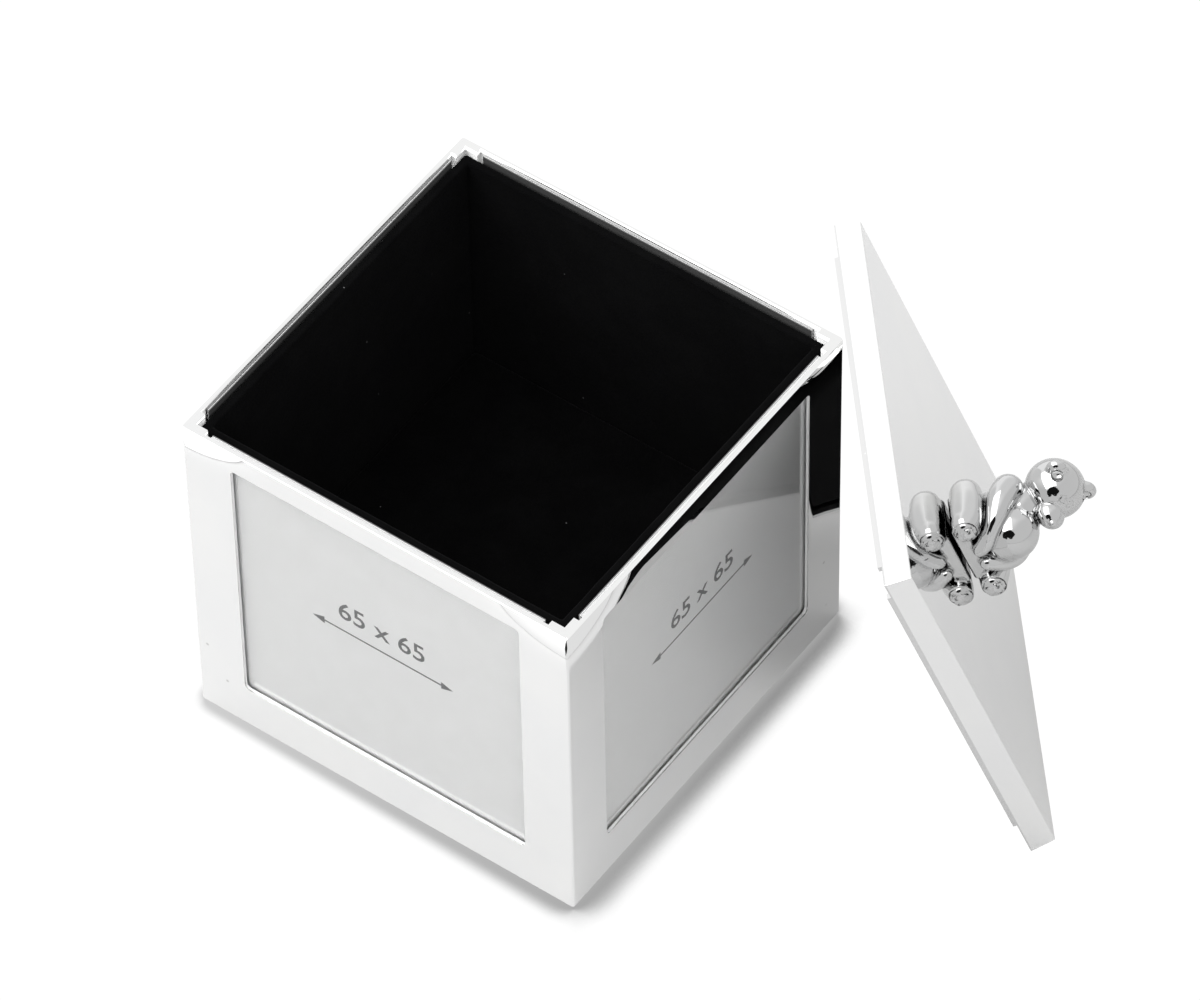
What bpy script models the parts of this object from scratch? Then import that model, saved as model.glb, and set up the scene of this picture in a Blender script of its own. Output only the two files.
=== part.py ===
"""A square silver keepsake box with a music movement, four photo windows and a lift-off lid with a bear.

The box stands on its base felt at z = 0, centred on X and Y. Its front faces -Y. The lid stands on one edge
beside the box and leans on the box's right back corner.
"""

import math

import bmesh
import bpy
from mathutils import Matrix, Vector

MM = 0.001

# Clearances
GAP = 0.3 * MM
RUNNING = 0.4 * MM
OVERLAP = 0.6 * MM
THROUGH = 2.0 * MM

# Outer shell
BOX_SIDE = 84.0 * MM
BOX_HEIGHT = 78.0 * MM
WALL = 1.8 * MM
SHELL_LIFT = 0.5 * MM
EDGE_ROUND = 0.55 * MM
WINDOW_CORNER = 1.0 * MM
WINDOW_SIDE_MARGIN = 10.5 * MM
WINDOW_TOP_MARGIN = 5.3 * MM
WINDOW_BOTTOM = 11.0 * MM
SLOT_DEPTH = 1.1 * MM
SLOT_CORNER = 4.5 * MM
SLOT_LEDGE = 9.0 * MM
PILLAR_SIDE = 7.7 * MM

# Liner, photo cards and panes
LINER_WALL = 1.9 * MM
LINER_FLOOR = 1.2 * MM
RIM_STEP = 1.5 * MM
INSERT_STEP = 0.5 * MM
PAD_THICKNESS = 1.0 * MM
CARD_THICKNESS = 0.3 * MM
PANE_THICKNESS = 0.35 * MM
PANE_PLAY = 0.25 * MM
CARD_SIDE_PLAY = 1.3 * MM

# Base
FELT_THICKNESS = 1.0 * MM
PLATE_THICKNESS = 1.5 * MM
WELL_RADIUS = 13.5 * MM
WELL_WALL = 0.8 * MM
WELL_CEILING_RISE = 4.5 * MM
BASE_SCREW_SHANK = 0.9 * MM
BASE_SCREW_HEAD = 2.4 * MM
BASE_SCREW_REACH = 8.0 * MM

# Music movement bay and bedplate
BAY_TOP = 22.7 * MM
BEDPLATE_THICKNESS = 1.4 * MM
BEDPLATE_LEFT = -33.0 * MM
BEDPLATE_RIGHT = 24.0 * MM
BEDPLATE_FRONT = -24.0 * MM
BEDPLATE_BACK = 18.0 * MM
LEG_RADIUS = 3.0 * MM
LEG_PLACES = ((-28.0 * MM, -19.5 * MM), (-28.0 * MM, 14.0 * MM), (20.0 * MM, -19.5 * MM))
MOVEMENT_SCREW_SHANK = 0.8 * MM
MOVEMENT_SCREW_HEAD = 2.2 * MM

# Winding train
WINDER_X = -17.0 * MM
ARBOR_RADIUS = 1.4 * MM
SHOULDER_RADIUS = 2.0 * MM
KEY_SPAN = 20.0 * MM
KEY_THICKNESS = 1.6 * MM
KEY_HEIGHT = 3.2 * MM
KEY_HUB_RADIUS = 2.7 * MM
KEY_STEM_RADIUS = 1.2 * MM
DRIVE_TEETH = 42
DRIVE_MODULE = 0.5 * MM
DRIVE_THICKNESS = 1.4 * MM
DRUM_RADIUS = 9.3 * MM
DRUM_WALL = 1.0 * MM
DRUM_HEIGHT = 7.0 * MM
BRIDGE_THICKNESS = 1.0 * MM
SPRING_STRIP = 0.35 * MM
SPRING_TURNS = 5
SPRING_STEPS = 12

# Cylinder train
AXIS_RISE = 7.3 * MM
CYLINDER_RADIUS = 6.0 * MM
CYLINDER_LEFT = -2.9 * MM
NOTE_COUNT = 18
NOTE_PITCH = 1.0 * MM
PIN_HEIGHT = 0.6 * MM
PIN_COLUMNS = 36
PIN_INSET = 0.28 * MM
CYLINDER_ARBOR = 1.0 * MM
CROWN_TEETH = 20
CROWN_TOOTH_WIDTH = 0.52 * MM
CROWN_TOOTH_DEPTH = 1.1 * MM
CROWN_FACE = 0.4 * MM
BRACKET_THICKNESS = 1.0 * MM
WHEEL_THICKNESS = 1.2 * MM

# Governor
GOVERNOR_MODULE = 0.32 * MM
GREAT_TEETH = 40
PINION_TEETH = 10
WORM_WHEEL_TEETH = 24
GOVERNOR_ARBOR = 0.5 * MM
WORM_ROOT = 0.75 * MM
WORM_CREST = 1.42 * MM
WORM_PITCH_RADIUS = 1.2 * MM
WORM_LENGTH = 6.4 * MM
FAN_RADIUS = 3.3 * MM
FAN_HEIGHT = 1.8 * MM
ARM_THICKNESS = 1.0 * MM
CHEEK_THICKNESS = 0.9 * MM
CHEEK_HALF_WIDTH = 1.4 * MM
CHEEK_RISE = 1.4 * MM
SOLE_THICKNESS = 1.0 * MM
POST_HALF_WIDTH = 1.5 * MM
POST_THICKNESS = 0.9 * MM
POST_CLEARANCE = 0.7 * MM
STEP_HALF_WIDTH = 1.0 * MM
PIVOT_REACH = 1.2 * MM

# Comb
COMB_TIP_PLAY = 0.2 * MM
COMB_THICKNESS = 0.8 * MM
REED_WIDTH = 0.62 * MM
COMB_BACK = -22.0 * MM
COMB_ROOT_BASS = -17.5 * MM
COMB_ROOT_TREBLE = -14.0 * MM
COMB_SCREW_SHANK = 0.9 * MM
COMB_SCREW_HEAD = 1.9 * MM

# Lid, in its own frame: skirt edge at z = 0, the bear's face towards -Y
LID_SIDE = 84.0 * MM
LID_HEIGHT = 4.9 * MM
LID_DRAFT = 0.6 * MM
LID_WALL = 1.2 * MM
TONGUE_INSET = 2.0 * MM
TONGUE_DEPTH = 1.2 * MM
TONGUE_THICKNESS = 1.1 * MM
TONGUE_CORNER = 6.0 * MM
LID_LEAN = math.radians(19.245)
LID_HEADING = math.radians(40.7)
LEAN_PLAY = 1.3 * MM
LEAN_OFFSET = 16.4 * MM
FINIAL_SCREW_SHANK = 0.9 * MM
FINIAL_SCREW_HEAD = 2.4 * MM
FINIAL_SCREW_ENTRY = 4.5 * MM

# Bear, seated on the lid and turned a little; its forms are written in these units
BEAR_UNIT = 1.0 * MM
BEAR_TURN = math.radians(-11.3)
BEAR_PLACE = (1.2 * MM, 0.3 * MM)
HEAD_PLACE = (-2.5, 1.63, 18.68)
HEAD_TURN = math.radians(8.9)
HEAD_NOD = math.radians(6.5)
HEAD_TILT = math.radians(-23.1)

# Heights that follow from the sizes above
HALF = BOX_SIDE / 2
INNER_HALF = HALF - WALL
FITTED_HALF = INNER_HALF - GAP
PLATE_BOTTOM = FELT_THICKNESS + GAP
PLATE_TOP = PLATE_BOTTOM + PLATE_THICKNESS
WELL_CEILING = PLATE_BOTTOM + WELL_CEILING_RISE
WELL_TOP = WELL_CEILING + WELL_WALL
BEDPLATE_BOTTOM = WELL_TOP + GAP
BEDPLATE_TOP = BEDPLATE_BOTTOM + BEDPLATE_THICKNESS
TRAIN_FLOOR = BEDPLATE_TOP + GAP
DRIVE_RADIUS = DRIVE_TEETH * DRIVE_MODULE / 2
DRIVE_BOTTOM = BEDPLATE_TOP + 1.6 * MM
DRIVE_TOP = DRIVE_BOTTOM + DRIVE_THICKNESS
BRIDGE_BOTTOM = DRIVE_TOP + GAP
BRIDGE_TOP = BRIDGE_BOTTOM + BRIDGE_THICKNESS
DRUM_TOP = BRIDGE_TOP + DRUM_HEIGHT
AXIS_Z = BEDPLATE_TOP + AXIS_RISE
CROWN_RADIUS = CROWN_TEETH * DRIVE_MODULE / 2
CROWN_TIP_X = WINDER_X + DRIVE_RADIUS - CROWN_FACE + 0.2 * MM
CROWN_DISC_X = CROWN_TIP_X + CROWN_TOOTH_DEPTH
CYLINDER_RIGHT = CYLINDER_LEFT + NOTE_COUNT * NOTE_PITCH
GREAT_X = CYLINDER_RIGHT + RUNNING
GREAT_RADIUS = GREAT_TEETH * GOVERNOR_MODULE / 2
PINION_RADIUS = PINION_TEETH * GOVERNOR_MODULE / 2
GOVERNOR_Y = GREAT_RADIUS + PINION_RADIUS
WORM_WHEEL_RADIUS = WORM_WHEEL_TEETH * GOVERNOR_MODULE / 2
WORM_PITCH = math.pi * GOVERNOR_MODULE
BRACKET_RIGHT_X = GREAT_X + WHEEL_THICKNESS + 0.6 * MM
WORM_WHEEL_X = BRACKET_RIGHT_X + BRACKET_THICKNESS + 0.6 * MM
WORM_X = WORM_WHEEL_X + 0.5 * MM
WORM_Y = GOVERNOR_Y + WORM_WHEEL_RADIUS + WORM_PITCH_RADIUS
LINER_BOTTOM = BAY_TOP + GAP
LINER_TOP = BOX_HEIGHT - RIM_STEP
INSERT_TOP = BOX_HEIGHT - INSERT_STEP
LINER_INNER_HALF = FITTED_HALF - LINER_WALL
LID_HALF = LID_SIDE / 2
LID_CAVITY_TOP = LID_HEIGHT - LID_WALL

SIDES = ("right", "back", "left", "front")


def collection(name):
    made = bpy.data.collections.new(name)
    bpy.context.scene.collection.children.link(made)
    return made


def clear_scene():
    for old in list(bpy.data.objects):
        bpy.data.objects.remove(old, do_unlink=True)


clear_scene()
PARTS = collection("musical_keepsake_box")
CUTTERS = collection("cutters")


def finish(name, colour, roughness, metallic):
    """A Principled material with one colour."""
    made = bpy.data.materials.new(name)
    made.use_nodes = True
    shader = made.node_tree.nodes["Principled BSDF"]
    shader.inputs["Base Color"].default_value = (*colour, 1.0)
    shader.inputs["Roughness"].default_value = roughness
    shader.inputs["Metallic"].default_value = metallic
    made.diffuse_color = (*colour, 1.0)
    return made


SILVER = finish("silver_plate", (0.90, 0.90, 0.90), 0.05, 1.0)
VELVET = finish("black_velvet", (0.012, 0.012, 0.013), 0.95, 0.0)
FELT = finish("base_felt", (0.03, 0.03, 0.03), 0.95, 0.0)
CARD = finish("photo_card", (0.80, 0.80, 0.79), 0.6, 0.0)
CLEAR = finish("clear_pane", (0.95, 0.95, 0.95), 0.03, 0.0)
BRASS = finish("brass", (0.80, 0.62, 0.30), 0.3, 1.0)
STEEL = finish("steel", (0.60, 0.60, 0.62), 0.3, 1.0)
BLACK_PLASTIC = finish("black_plastic", (0.03, 0.03, 0.03), 0.4, 0.0)


def link(name, data, material):
    """Adds an object; with no material it is a tool shape for a Boolean."""
    piece = bpy.data.objects.new(name, data)
    if material is None:
        CUTTERS.objects.link(piece)
        piece.hide_render = True
        piece.display_type = "WIRE"
    else:
        PARTS.objects.link(piece)
        own = material.copy()
        own.name = f"{name}_{material.name}"
        data.materials.append(own)
    return piece


def from_bmesh(name, shape, material):
    mesh = bpy.data.meshes.new(name)
    shape.to_mesh(mesh)
    shape.free()
    mesh.shade_smooth()
    mesh.set_sharp_from_angle(angle=math.radians(40.0))
    return link(name, mesh, material)


def block(name, low, high, material=None):
    """A box between two corners."""
    size = [b - a for a, b in zip(low, high)]
    middle = [(a + b) / 2 for a, b in zip(low, high)]
    shape = bmesh.new()
    bmesh.ops.create_cube(shape, size=1.0, matrix=Matrix.Translation(middle) @ Matrix.Diagonal((*size, 1.0)))
    return from_bmesh(name, shape, material)


def drum(name, radius, low, high, at=(0.0, 0.0), sides=32, material=None):
    """An upright cylinder between two heights."""
    shape = bmesh.new()
    bmesh.ops.create_cone(
        shape,
        cap_ends=True,
        segments=sides,
        radius1=radius,
        radius2=radius,
        depth=high - low,
        matrix=Matrix.Translation((at[0], at[1], (low + high) / 2)),
    )
    return from_bmesh(name, shape, material)


def turned(name, profile, sides, material=None):
    """A solid of revolution about Z: the profile runs down its outer side, from the axis to the axis."""
    mesh = bpy.data.meshes.new(name)
    edges = [(k, k + 1) for k in range(len(profile) - 1)]
    mesh.from_pydata([(r, 0.0, z) for r, z in profile], edges, [])
    piece = link(name, mesh, material)
    screw = piece.modifiers.new("turn", "SCREW")
    screw.steps = sides
    screw.render_steps = sides
    screw.use_merge_vertices = True
    screw.merge_threshold = 1e-6
    return piece


def plate(name, outlines, low, high, material):
    """Closed flat outlines, the first one outside and the others holes, as a plate between two heights."""
    curve = bpy.data.curves.new(name, "CURVE")
    curve.dimensions = "2D"
    curve.fill_mode = "BOTH"
    curve.extrude = (high - low) / 2
    for outline in outlines:
        spline = curve.splines.new("POLY")
        spline.points.add(len(outline) - 1)
        for point, (x, y) in zip(spline.points, outline):
            point.co = (x, y, 0.0, 1.0)
        spline.use_cyclic_u = True
    piece = link(name, curve, material)
    piece.location.z = (low + high) / 2
    return piece


def plate_tool(name, outlines, low, high, material=None):
    """The same plate as a mesh, which a Boolean can use."""
    curve_piece = plate(name + "_outline", outlines, low, high, SILVER)
    bpy.context.view_layer.update()
    graph = bpy.context.evaluated_depsgraph_get()
    mesh = bpy.data.meshes.new_from_object(curve_piece.evaluated_get(graph))
    mesh.transform(curve_piece.matrix_world)
    shape = bmesh.new()
    shape.from_mesh(mesh)
    bmesh.ops.remove_doubles(shape, verts=shape.verts, dist=1e-6)
    shape.to_mesh(mesh)
    shape.free()
    mesh.materials.clear()
    bpy.data.objects.remove(curve_piece, do_unlink=True)
    return link(name, mesh, material)


def combine(piece, tool, operation):
    step = piece.modifiers.new(operation.lower() + "_" + tool.name, "BOOLEAN")
    step.operation = operation
    step.object = tool
    return piece


def cut(piece, *tools):
    for tool in tools:
        combine(piece, tool, "DIFFERENCE")
    return piece


def join(piece, *tools):
    for tool in tools:
        combine(piece, tool, "UNION")
    return piece


def round_edges(piece, width, segments=2):
    bevel = piece.modifiers.new("rounding", "BEVEL")
    bevel.width = width
    bevel.segments = segments
    bevel.limit_method = "ANGLE"
    return piece


def carry(parent, *pieces):
    """Places pieces in the frame of an empty."""
    for piece in pieces:
        piece.parent = parent


def frame_at(name, location, turn):
    empty = bpy.data.objects.new(name, None)
    empty.location = location
    empty.rotation_euler = turn
    empty.empty_display_size = 5.0 * MM
    PARTS.objects.link(empty)
    return empty


def circle(radius, sides=24, centre=(0.0, 0.0)):
    step = 2 * math.pi / sides
    x, y = centre
    return [(x + radius * math.cos(k * step), y + radius * math.sin(k * step)) for k in range(sides)]


def gear_outline(teeth, module, phase):
    """Straight-flanked teeth, thin enough to run with backlash. A tooth is centred on the phase angle."""
    step = 2 * math.pi / teeth
    middle_radius = teeth * module / 2
    flanks = ((middle_radius - 1.3 * module, 0.27), (middle_radius + 0.8 * module, 0.10))
    points = []
    for k in range(teeth):
        middle = phase + k * step
        for radius, share in flanks:
            points.append((radius, middle - share * step))
        for radius, share in reversed(flanks):
            points.append((radius, middle + share * step))
    return [(r * math.cos(a), r * math.sin(a)) for r, a in points]


def slotted_screw(name, shank, head, tip, head_inner, head_outer, at, material):
    """A cheese-head screw along Z, with its tip and its head at the given heights and a driver slot."""
    sign = 1.0 if tip > head_inner else -1.0
    profile = [(0.0, tip), (shank, tip), (shank, head_inner)]
    profile += [(head, head_inner), (head, head_outer), (0.0, head_outer)]
    if sign < 0:
        profile.reverse()
    screw = turned(name, profile, 16, material)
    screw.location = (at[0], at[1], 0.0)
    depth = 0.5 * abs(head_outer - head_inner)
    slot_levels = sorted((head_outer - sign * THROUGH, head_outer + sign * depth))
    slot = block(
        name + "_slot", (-2 * head, -0.25 * MM, slot_levels[0]), (2 * head, 0.25 * MM, slot_levels[1])
    )
    slot.location = screw.location
    return cut(screw, slot)


def window_tool(name, half_width):
    """A window's opening in the right-hand wall, with small round corners."""
    shape = bmesh.new()
    low = Vector((INNER_HALF - THROUGH, -half_width, WINDOW_BOTTOM))
    high = Vector((HALF + THROUGH, half_width, BOX_HEIGHT - WINDOW_TOP_MARGIN))
    size = high - low
    place = Matrix.Translation((low + high) / 2) @ Matrix.Diagonal((size.x, size.y, size.z, 1.0))
    bmesh.ops.create_cube(shape, size=1.0, matrix=place)
    corners = [edge for edge in shape.edges if abs(edge.verts[0].co.x - edge.verts[1].co.x) > OVERLAP]
    bmesh.ops.bevel(shape, geom=corners, offset=WINDOW_CORNER, segments=3, profile=0.5, affect="EDGES")
    return from_bmesh(name, shape, None)


def make_outer_shell():
    """The square silver tube: four windows, a slot behind each, and corner pillars for the base screws."""
    shell = block("outer_shell", (-HALF, -HALF, SHELL_LIFT), (HALF, HALF, BOX_HEIGHT), SILVER)
    round_edges(shell, EDGE_ROUND, 3)
    cut(
        shell,
        block(
            "shell_inside",
            (-INNER_HALF, -INNER_HALF, SHELL_LIFT - THROUGH),
            (INNER_HALF, INNER_HALF, BOX_HEIGHT + THROUGH),
        ),
    )
    slot_half = HALF - SLOT_CORNER
    window_half = HALF - WINDOW_SIDE_MARGIN
    for index, side in enumerate(SIDES):
        slot = block(
            "slot_" + side,
            (INNER_HALF - THROUGH, -slot_half, SLOT_LEDGE),
            (INNER_HALF + SLOT_DEPTH, slot_half, BOX_HEIGHT + THROUGH),
        )
        window = window_tool("window_" + side, window_half)
        for tool in (slot, window):
            tool.rotation_euler.z = index * math.pi / 2
        cut(shell, slot, window)
    pillar_bottom = PLATE_TOP + GAP
    for index, (x, y) in enumerate(pillar_places()):
        reach = PILLAR_SIDE / 2
        sx = math.copysign(1.0, x)
        sy = math.copysign(1.0, y)
        pillar = block(
            f"pillar_{index}", (x - reach, y - reach, pillar_bottom), (x + reach, y + reach, BAY_TOP)
        )
        heel = (INNER_HALF + HALF) / 2 - WALL / 4
        root = FITTED_HALF - 2.1 * MM
        corners = sorted((sx * root, sx * heel)), sorted((sy * root, sy * heel))
        web = block(
            f"pillar_web_{index}",
            (corners[0][0], corners[1][0], pillar_bottom + OVERLAP),
            (corners[0][1], corners[1][1], BAY_TOP - OVERLAP),
        )
        hole = drum(
            f"pillar_hole_{index}",
            BASE_SCREW_SHANK + GAP,
            pillar_bottom - THROUGH,
            pillar_bottom + BASE_SCREW_REACH + 1.0 * MM,
            (x, y),
            20,
        )
        join(shell, pillar, web)
        cut(shell, hole)
    return shell


def pillar_places():
    place = FITTED_HALF - PILLAR_SIDE / 2
    return [(x, y) for x in (-place, place) for y in (-place, place)]


def make_liner():
    """The velvet-covered tray that makes the keepsake space, and the pad on its floor."""
    low = (-FITTED_HALF, -FITTED_HALF, LINER_BOTTOM)
    tray = block("liner_tray", low, (FITTED_HALF, FITTED_HALF, LINER_TOP), VELVET)
    floor = LINER_BOTTOM + LINER_FLOOR
    hollow = block(
        "liner_hollow",
        (-LINER_INNER_HALF, -LINER_INNER_HALF, floor),
        (LINER_INNER_HALF, LINER_INNER_HALF, LINER_TOP + THROUGH),
    )
    cut(tray, hollow)
    pad_half = LINER_INNER_HALF - GAP
    pad_top = floor + GAP + PAD_THICKNESS
    pad = block("floor_pad", (-pad_half, -pad_half, floor + GAP), (pad_half, pad_half, pad_top), VELVET)
    round_edges(pad, 0.25 * MM)


def make_photo_sheets():
    """A printed card and a clear pane behind each window, standing on the slot's ledge."""
    slot_half = HALF - SLOT_CORNER
    half_width = slot_half - CARD_SIDE_PLAY
    pane_outer = INNER_HALF + SLOT_DEPTH - PANE_PLAY
    pane_inner = pane_outer - PANE_THICKNESS
    card_outer = pane_inner - 0.15 * MM
    card_inner = card_outer - CARD_THICKNESS
    bottom = SLOT_LEDGE + GAP
    for index, side in enumerate(SIDES):
        low = (card_inner, -half_width, bottom)
        card = block("photo_card_" + side, low, (card_outer, half_width, INSERT_TOP), CARD)
        low = (pane_inner, -half_width, bottom)
        pane = block("clear_pane_" + side, low, (pane_outer, half_width, INSERT_TOP), CLEAR)
        for sheet in (card, pane):
            sheet.rotation_euler.z = index * math.pi / 2


def make_base():
    """The base plate with its key well, the felt under it, and the screws that hold them and the movement."""
    well_at = (WINDER_X, 0.0)
    low = (-FITTED_HALF, -FITTED_HALF, PLATE_BOTTOM)
    base = block("base_plate", low, (FITTED_HALF, FITTED_HALF, PLATE_TOP), BLACK_PLASTIC)
    cup = drum("well_outside", WELL_RADIUS + WELL_WALL, PLATE_BOTTOM + OVERLAP, WELL_TOP, well_at, 32)
    join(base, cup)
    cut(
        base,
        drum("well_inside", WELL_RADIUS, PLATE_BOTTOM - THROUGH, WELL_CEILING, well_at, 32),
        drum("well_hole", SHOULDER_RADIUS + RUNNING, WELL_CEILING - OVERLAP, WELL_TOP + THROUGH, well_at, 20),
    )
    felt_half = INNER_HALF - 0.5 * MM
    felt = block("base_felt", (-felt_half, -felt_half, 0.0), (felt_half, felt_half, FELT_THICKNESS), FELT)
    cut(felt, drum("felt_well", WELL_RADIUS - GAP, -THROUGH, FELT_THICKNESS + THROUGH, well_at, 32))
    base_tip = PLATE_TOP + GAP + BASE_SCREW_REACH
    groups = (
        ("base_screw", pillar_places(), BASE_SCREW_SHANK, BASE_SCREW_HEAD, base_tip),
        ("movement_screw", LEG_PLACES, MOVEMENT_SCREW_SHANK, MOVEMENT_SCREW_HEAD, BEDPLATE_BOTTOM),
    )
    through = (PLATE_BOTTOM - THROUGH, PLATE_TOP + THROUGH)
    for group, places, shank, head, tip in groups:
        for index, at in enumerate(places):
            name = f"{group}_{index + 1}"
            cut(base, drum(name + "_plate_hole", shank + GAP, *through, at, 12))
            cut(felt, drum(name + "_felt_hole", head + 0.6 * MM, -THROUGH, FELT_THICKNESS + THROUGH, at, 14))
            slotted_screw(name, shank, head, tip, FELT_THICKNESS, 0.15 * MM, at, STEEL)


def make_bedplate():
    """The movement's plate, with three legs that the movement screws enter from below."""
    bed = block(
        "bedplate",
        (BEDPLATE_LEFT, BEDPLATE_FRONT, BEDPLATE_BOTTOM),
        (BEDPLATE_RIGHT, BEDPLATE_BACK, BEDPLATE_TOP),
        BRASS,
    )
    for index, at in enumerate(LEG_PLACES):
        join(bed, drum(f"leg_{index}", LEG_RADIUS, PLATE_TOP + GAP, BEDPLATE_BOTTOM + OVERLAP, at, 16))
    for index, at in enumerate(LEG_PLACES):
        hole_top = BEDPLATE_BOTTOM + BEDPLATE_THICKNESS / 2
        cut(bed, drum(f"leg_hole_{index}", MOVEMENT_SCREW_SHANK + GAP, 0.0, hole_top, at, 20))
    hole = drum(
        "bed_arbor_hole",
        SHOULDER_RADIUS + RUNNING,
        BEDPLATE_BOTTOM - THROUGH,
        BEDPLATE_TOP + THROUGH,
        (WINDER_X, 0.0),
        24,
    )
    cut(bed, hole)


def make_winder():
    """The winding key, its arbor and the drive gear, all turning about the arbor's axis."""
    key_top = WELL_CEILING - RUNNING
    key_bottom = key_top - KEY_HEIGHT - 0.5 * MM
    stem_bottom = key_bottom + 1.0 * MM
    axis = frame_at("winder_axis", (WINDER_X, 0.0, 0.0), (0.0, 0.0, 0.0))
    key = drum("winding_key", KEY_HUB_RADIUS, key_bottom, key_top, sides=28, material=STEEL)
    blade = block(
        "key_blade",
        (-KEY_SPAN / 2, -KEY_THICKNESS / 2, key_bottom + 0.1 * MM),
        (KEY_SPAN / 2, KEY_THICKNESS / 2, key_bottom + KEY_HEIGHT),
    )
    round_edges(blade, 0.5 * MM)
    join(key, blade)
    key_hole = drum("key_hole", KEY_STEM_RADIUS + GAP, stem_bottom - GAP, key_top + THROUGH, sides=20)
    cut(key, key_hole)
    shoulder_top = DRIVE_BOTTOM - GAP
    arbor = turned(
        "winding_arbor",
        [
            (0.0, DRUM_TOP + 0.5 * MM),
            (ARBOR_RADIUS, DRUM_TOP + 0.5 * MM),
            (ARBOR_RADIUS, shoulder_top),
            (SHOULDER_RADIUS, shoulder_top),
            (SHOULDER_RADIUS, key_top + GAP),
            (KEY_STEM_RADIUS, key_top + GAP),
            (KEY_STEM_RADIUS, stem_bottom),
            (0.0, stem_bottom),
        ],
        20,
        STEEL,
    )
    half_tooth = math.pi / DRIVE_TEETH
    gear = plate(
        "drive_gear",
        [gear_outline(DRIVE_TEETH, DRIVE_MODULE, half_tooth), circle(ARBOR_RADIUS + GAP, 20)],
        DRIVE_BOTTOM,
        DRIVE_TOP,
        BRASS,
    )
    carry(axis, key, blade, key_hole, arbor, gear)


def make_spring_housing():
    """The bridge over the drive gear, on three legs, and the spring's drum on top of it."""
    at = (WINDER_X, 0.0)
    leg_radius = 1.6 * MM
    leg_distance = DRIVE_RADIUS + DRIVE_MODULE + GAP + leg_radius
    arm_half = 1.8 * MM
    housing = drum("spring_housing", DRUM_RADIUS + GAP, BRIDGE_BOTTOM, BRIDGE_TOP, at, 24, STEEL)
    for index, degrees in enumerate((180.0, 100.0, 260.0)):
        angle = math.radians(degrees)
        arm = block(
            f"bridge_arm_{index}",
            (0.0, -arm_half, BRIDGE_BOTTOM + 0.05 * MM),
            (leg_distance, arm_half, BRIDGE_TOP - 0.05 * MM),
        )
        arm.location = (WINDER_X, 0.0, 0.0)
        arm.rotation_euler.z = angle
        leg_at = (WINDER_X + leg_distance * math.cos(angle), leg_distance * math.sin(angle))
        leg = drum(f"bridge_leg_{index}", leg_radius, TRAIN_FLOOR, BRIDGE_TOP + 0.2 * MM, leg_at, 20)
        join(housing, arm, leg)
    join(housing, drum("drum_outside", DRUM_RADIUS, BRIDGE_BOTTOM + OVERLAP, DRUM_TOP, at, 24))
    cut(
        housing,
        drum("drum_inside", DRUM_RADIUS - DRUM_WALL, BRIDGE_TOP, DRUM_TOP - DRUM_WALL, at, 24),
        drum("drum_arbor_hole", ARBOR_RADIUS + RUNNING, BRIDGE_BOTTOM - THROUGH, DRUM_TOP + THROUGH, at, 24),
    )
    port_half = 2.5 * MM
    port_low = BRIDGE_TOP + 1.4 * MM
    port_high = DRUM_TOP - DRUM_WALL - 1.4 * MM
    for index in range(2):
        reach = DRUM_RADIUS + THROUGH
        port = block(f"drum_port_{index}", (-reach, -port_half, port_low), (reach, port_half, port_high))
        port.location = (WINDER_X, 0.0, 0.0)
        port.rotation_euler.z = math.radians(45.0 + 90.0 * index)
        cut(housing, port)
    inner = ARBOR_RADIUS + 1.2 * MM
    outer = DRUM_RADIUS - DRUM_WALL - RUNNING - SPRING_STRIP
    steps = SPRING_TURNS * SPRING_STEPS
    rising = []
    for k in range(steps + 1):
        angle = 2 * math.pi * k / SPRING_STEPS
        radius = inner + (outer - inner) * k / steps
        rising.append((radius, angle))
    inside = [(r * math.cos(a), r * math.sin(a)) for r, a in rising]
    outside = [((r + SPRING_STRIP) * math.cos(a), (r + SPRING_STRIP) * math.sin(a)) for r, a in rising]
    spring = plate(
        "mainspring", [outside + inside[::-1]], BRIDGE_TOP + RUNNING, DRUM_TOP - DRUM_WALL - RUNNING, STEEL
    )
    spring.location.x = WINDER_X


def make_pinned_surface(name):
    """A cylinder along Z with a grid of cells, some of them drawn out into pins that pluck the comb."""
    shape = bmesh.new()
    length = CYLINDER_RIGHT - CYLINDER_LEFT
    bmesh.ops.create_cone(
        shape,
        cap_ends=True,
        segments=PIN_COLUMNS,
        radius1=CYLINDER_RADIUS,
        radius2=CYLINDER_RADIUS,
        depth=length,
        matrix=Matrix.Translation((0.0, 0.0, CYLINDER_LEFT + length / 2)),
    )
    for row in range(1, NOTE_COUNT):
        everything = list(shape.verts) + list(shape.edges) + list(shape.faces)
        level = (0.0, 0.0, CYLINDER_LEFT + row * NOTE_PITCH)
        bmesh.ops.bisect_plane(shape, geom=everything, dist=1e-7, plane_co=level, plane_no=(0.0, 0.0, 1.0))
    pins = []
    for cell in shape.faces:
        if abs(cell.normal.z) > 0.5:
            continue
        middle = cell.calc_center_median()
        row = int((middle.z - CYLINDER_LEFT) / NOTE_PITCH)
        column = int((math.atan2(middle.y, middle.x) % (2 * math.pi)) * PIN_COLUMNS / (2 * math.pi))
        if (column * 7 + row * 11) % 13 in (0, 5) and column % 2 == row % 2:
            pins.append(cell)
    bmesh.ops.inset_individual(shape, faces=pins, thickness=PIN_INSET, use_even_offset=True)
    raised = bmesh.ops.extrude_discrete_faces(shape, faces=pins)["faces"]
    for pin in raised:
        middle = pin.calc_center_median()
        outward = Vector((middle.x, middle.y, 0.0)).normalized() * PIN_HEIGHT
        bmesh.ops.translate(shape, vec=outward, verts=pin.verts)
    return from_bmesh(name, shape, BRASS)


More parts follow.
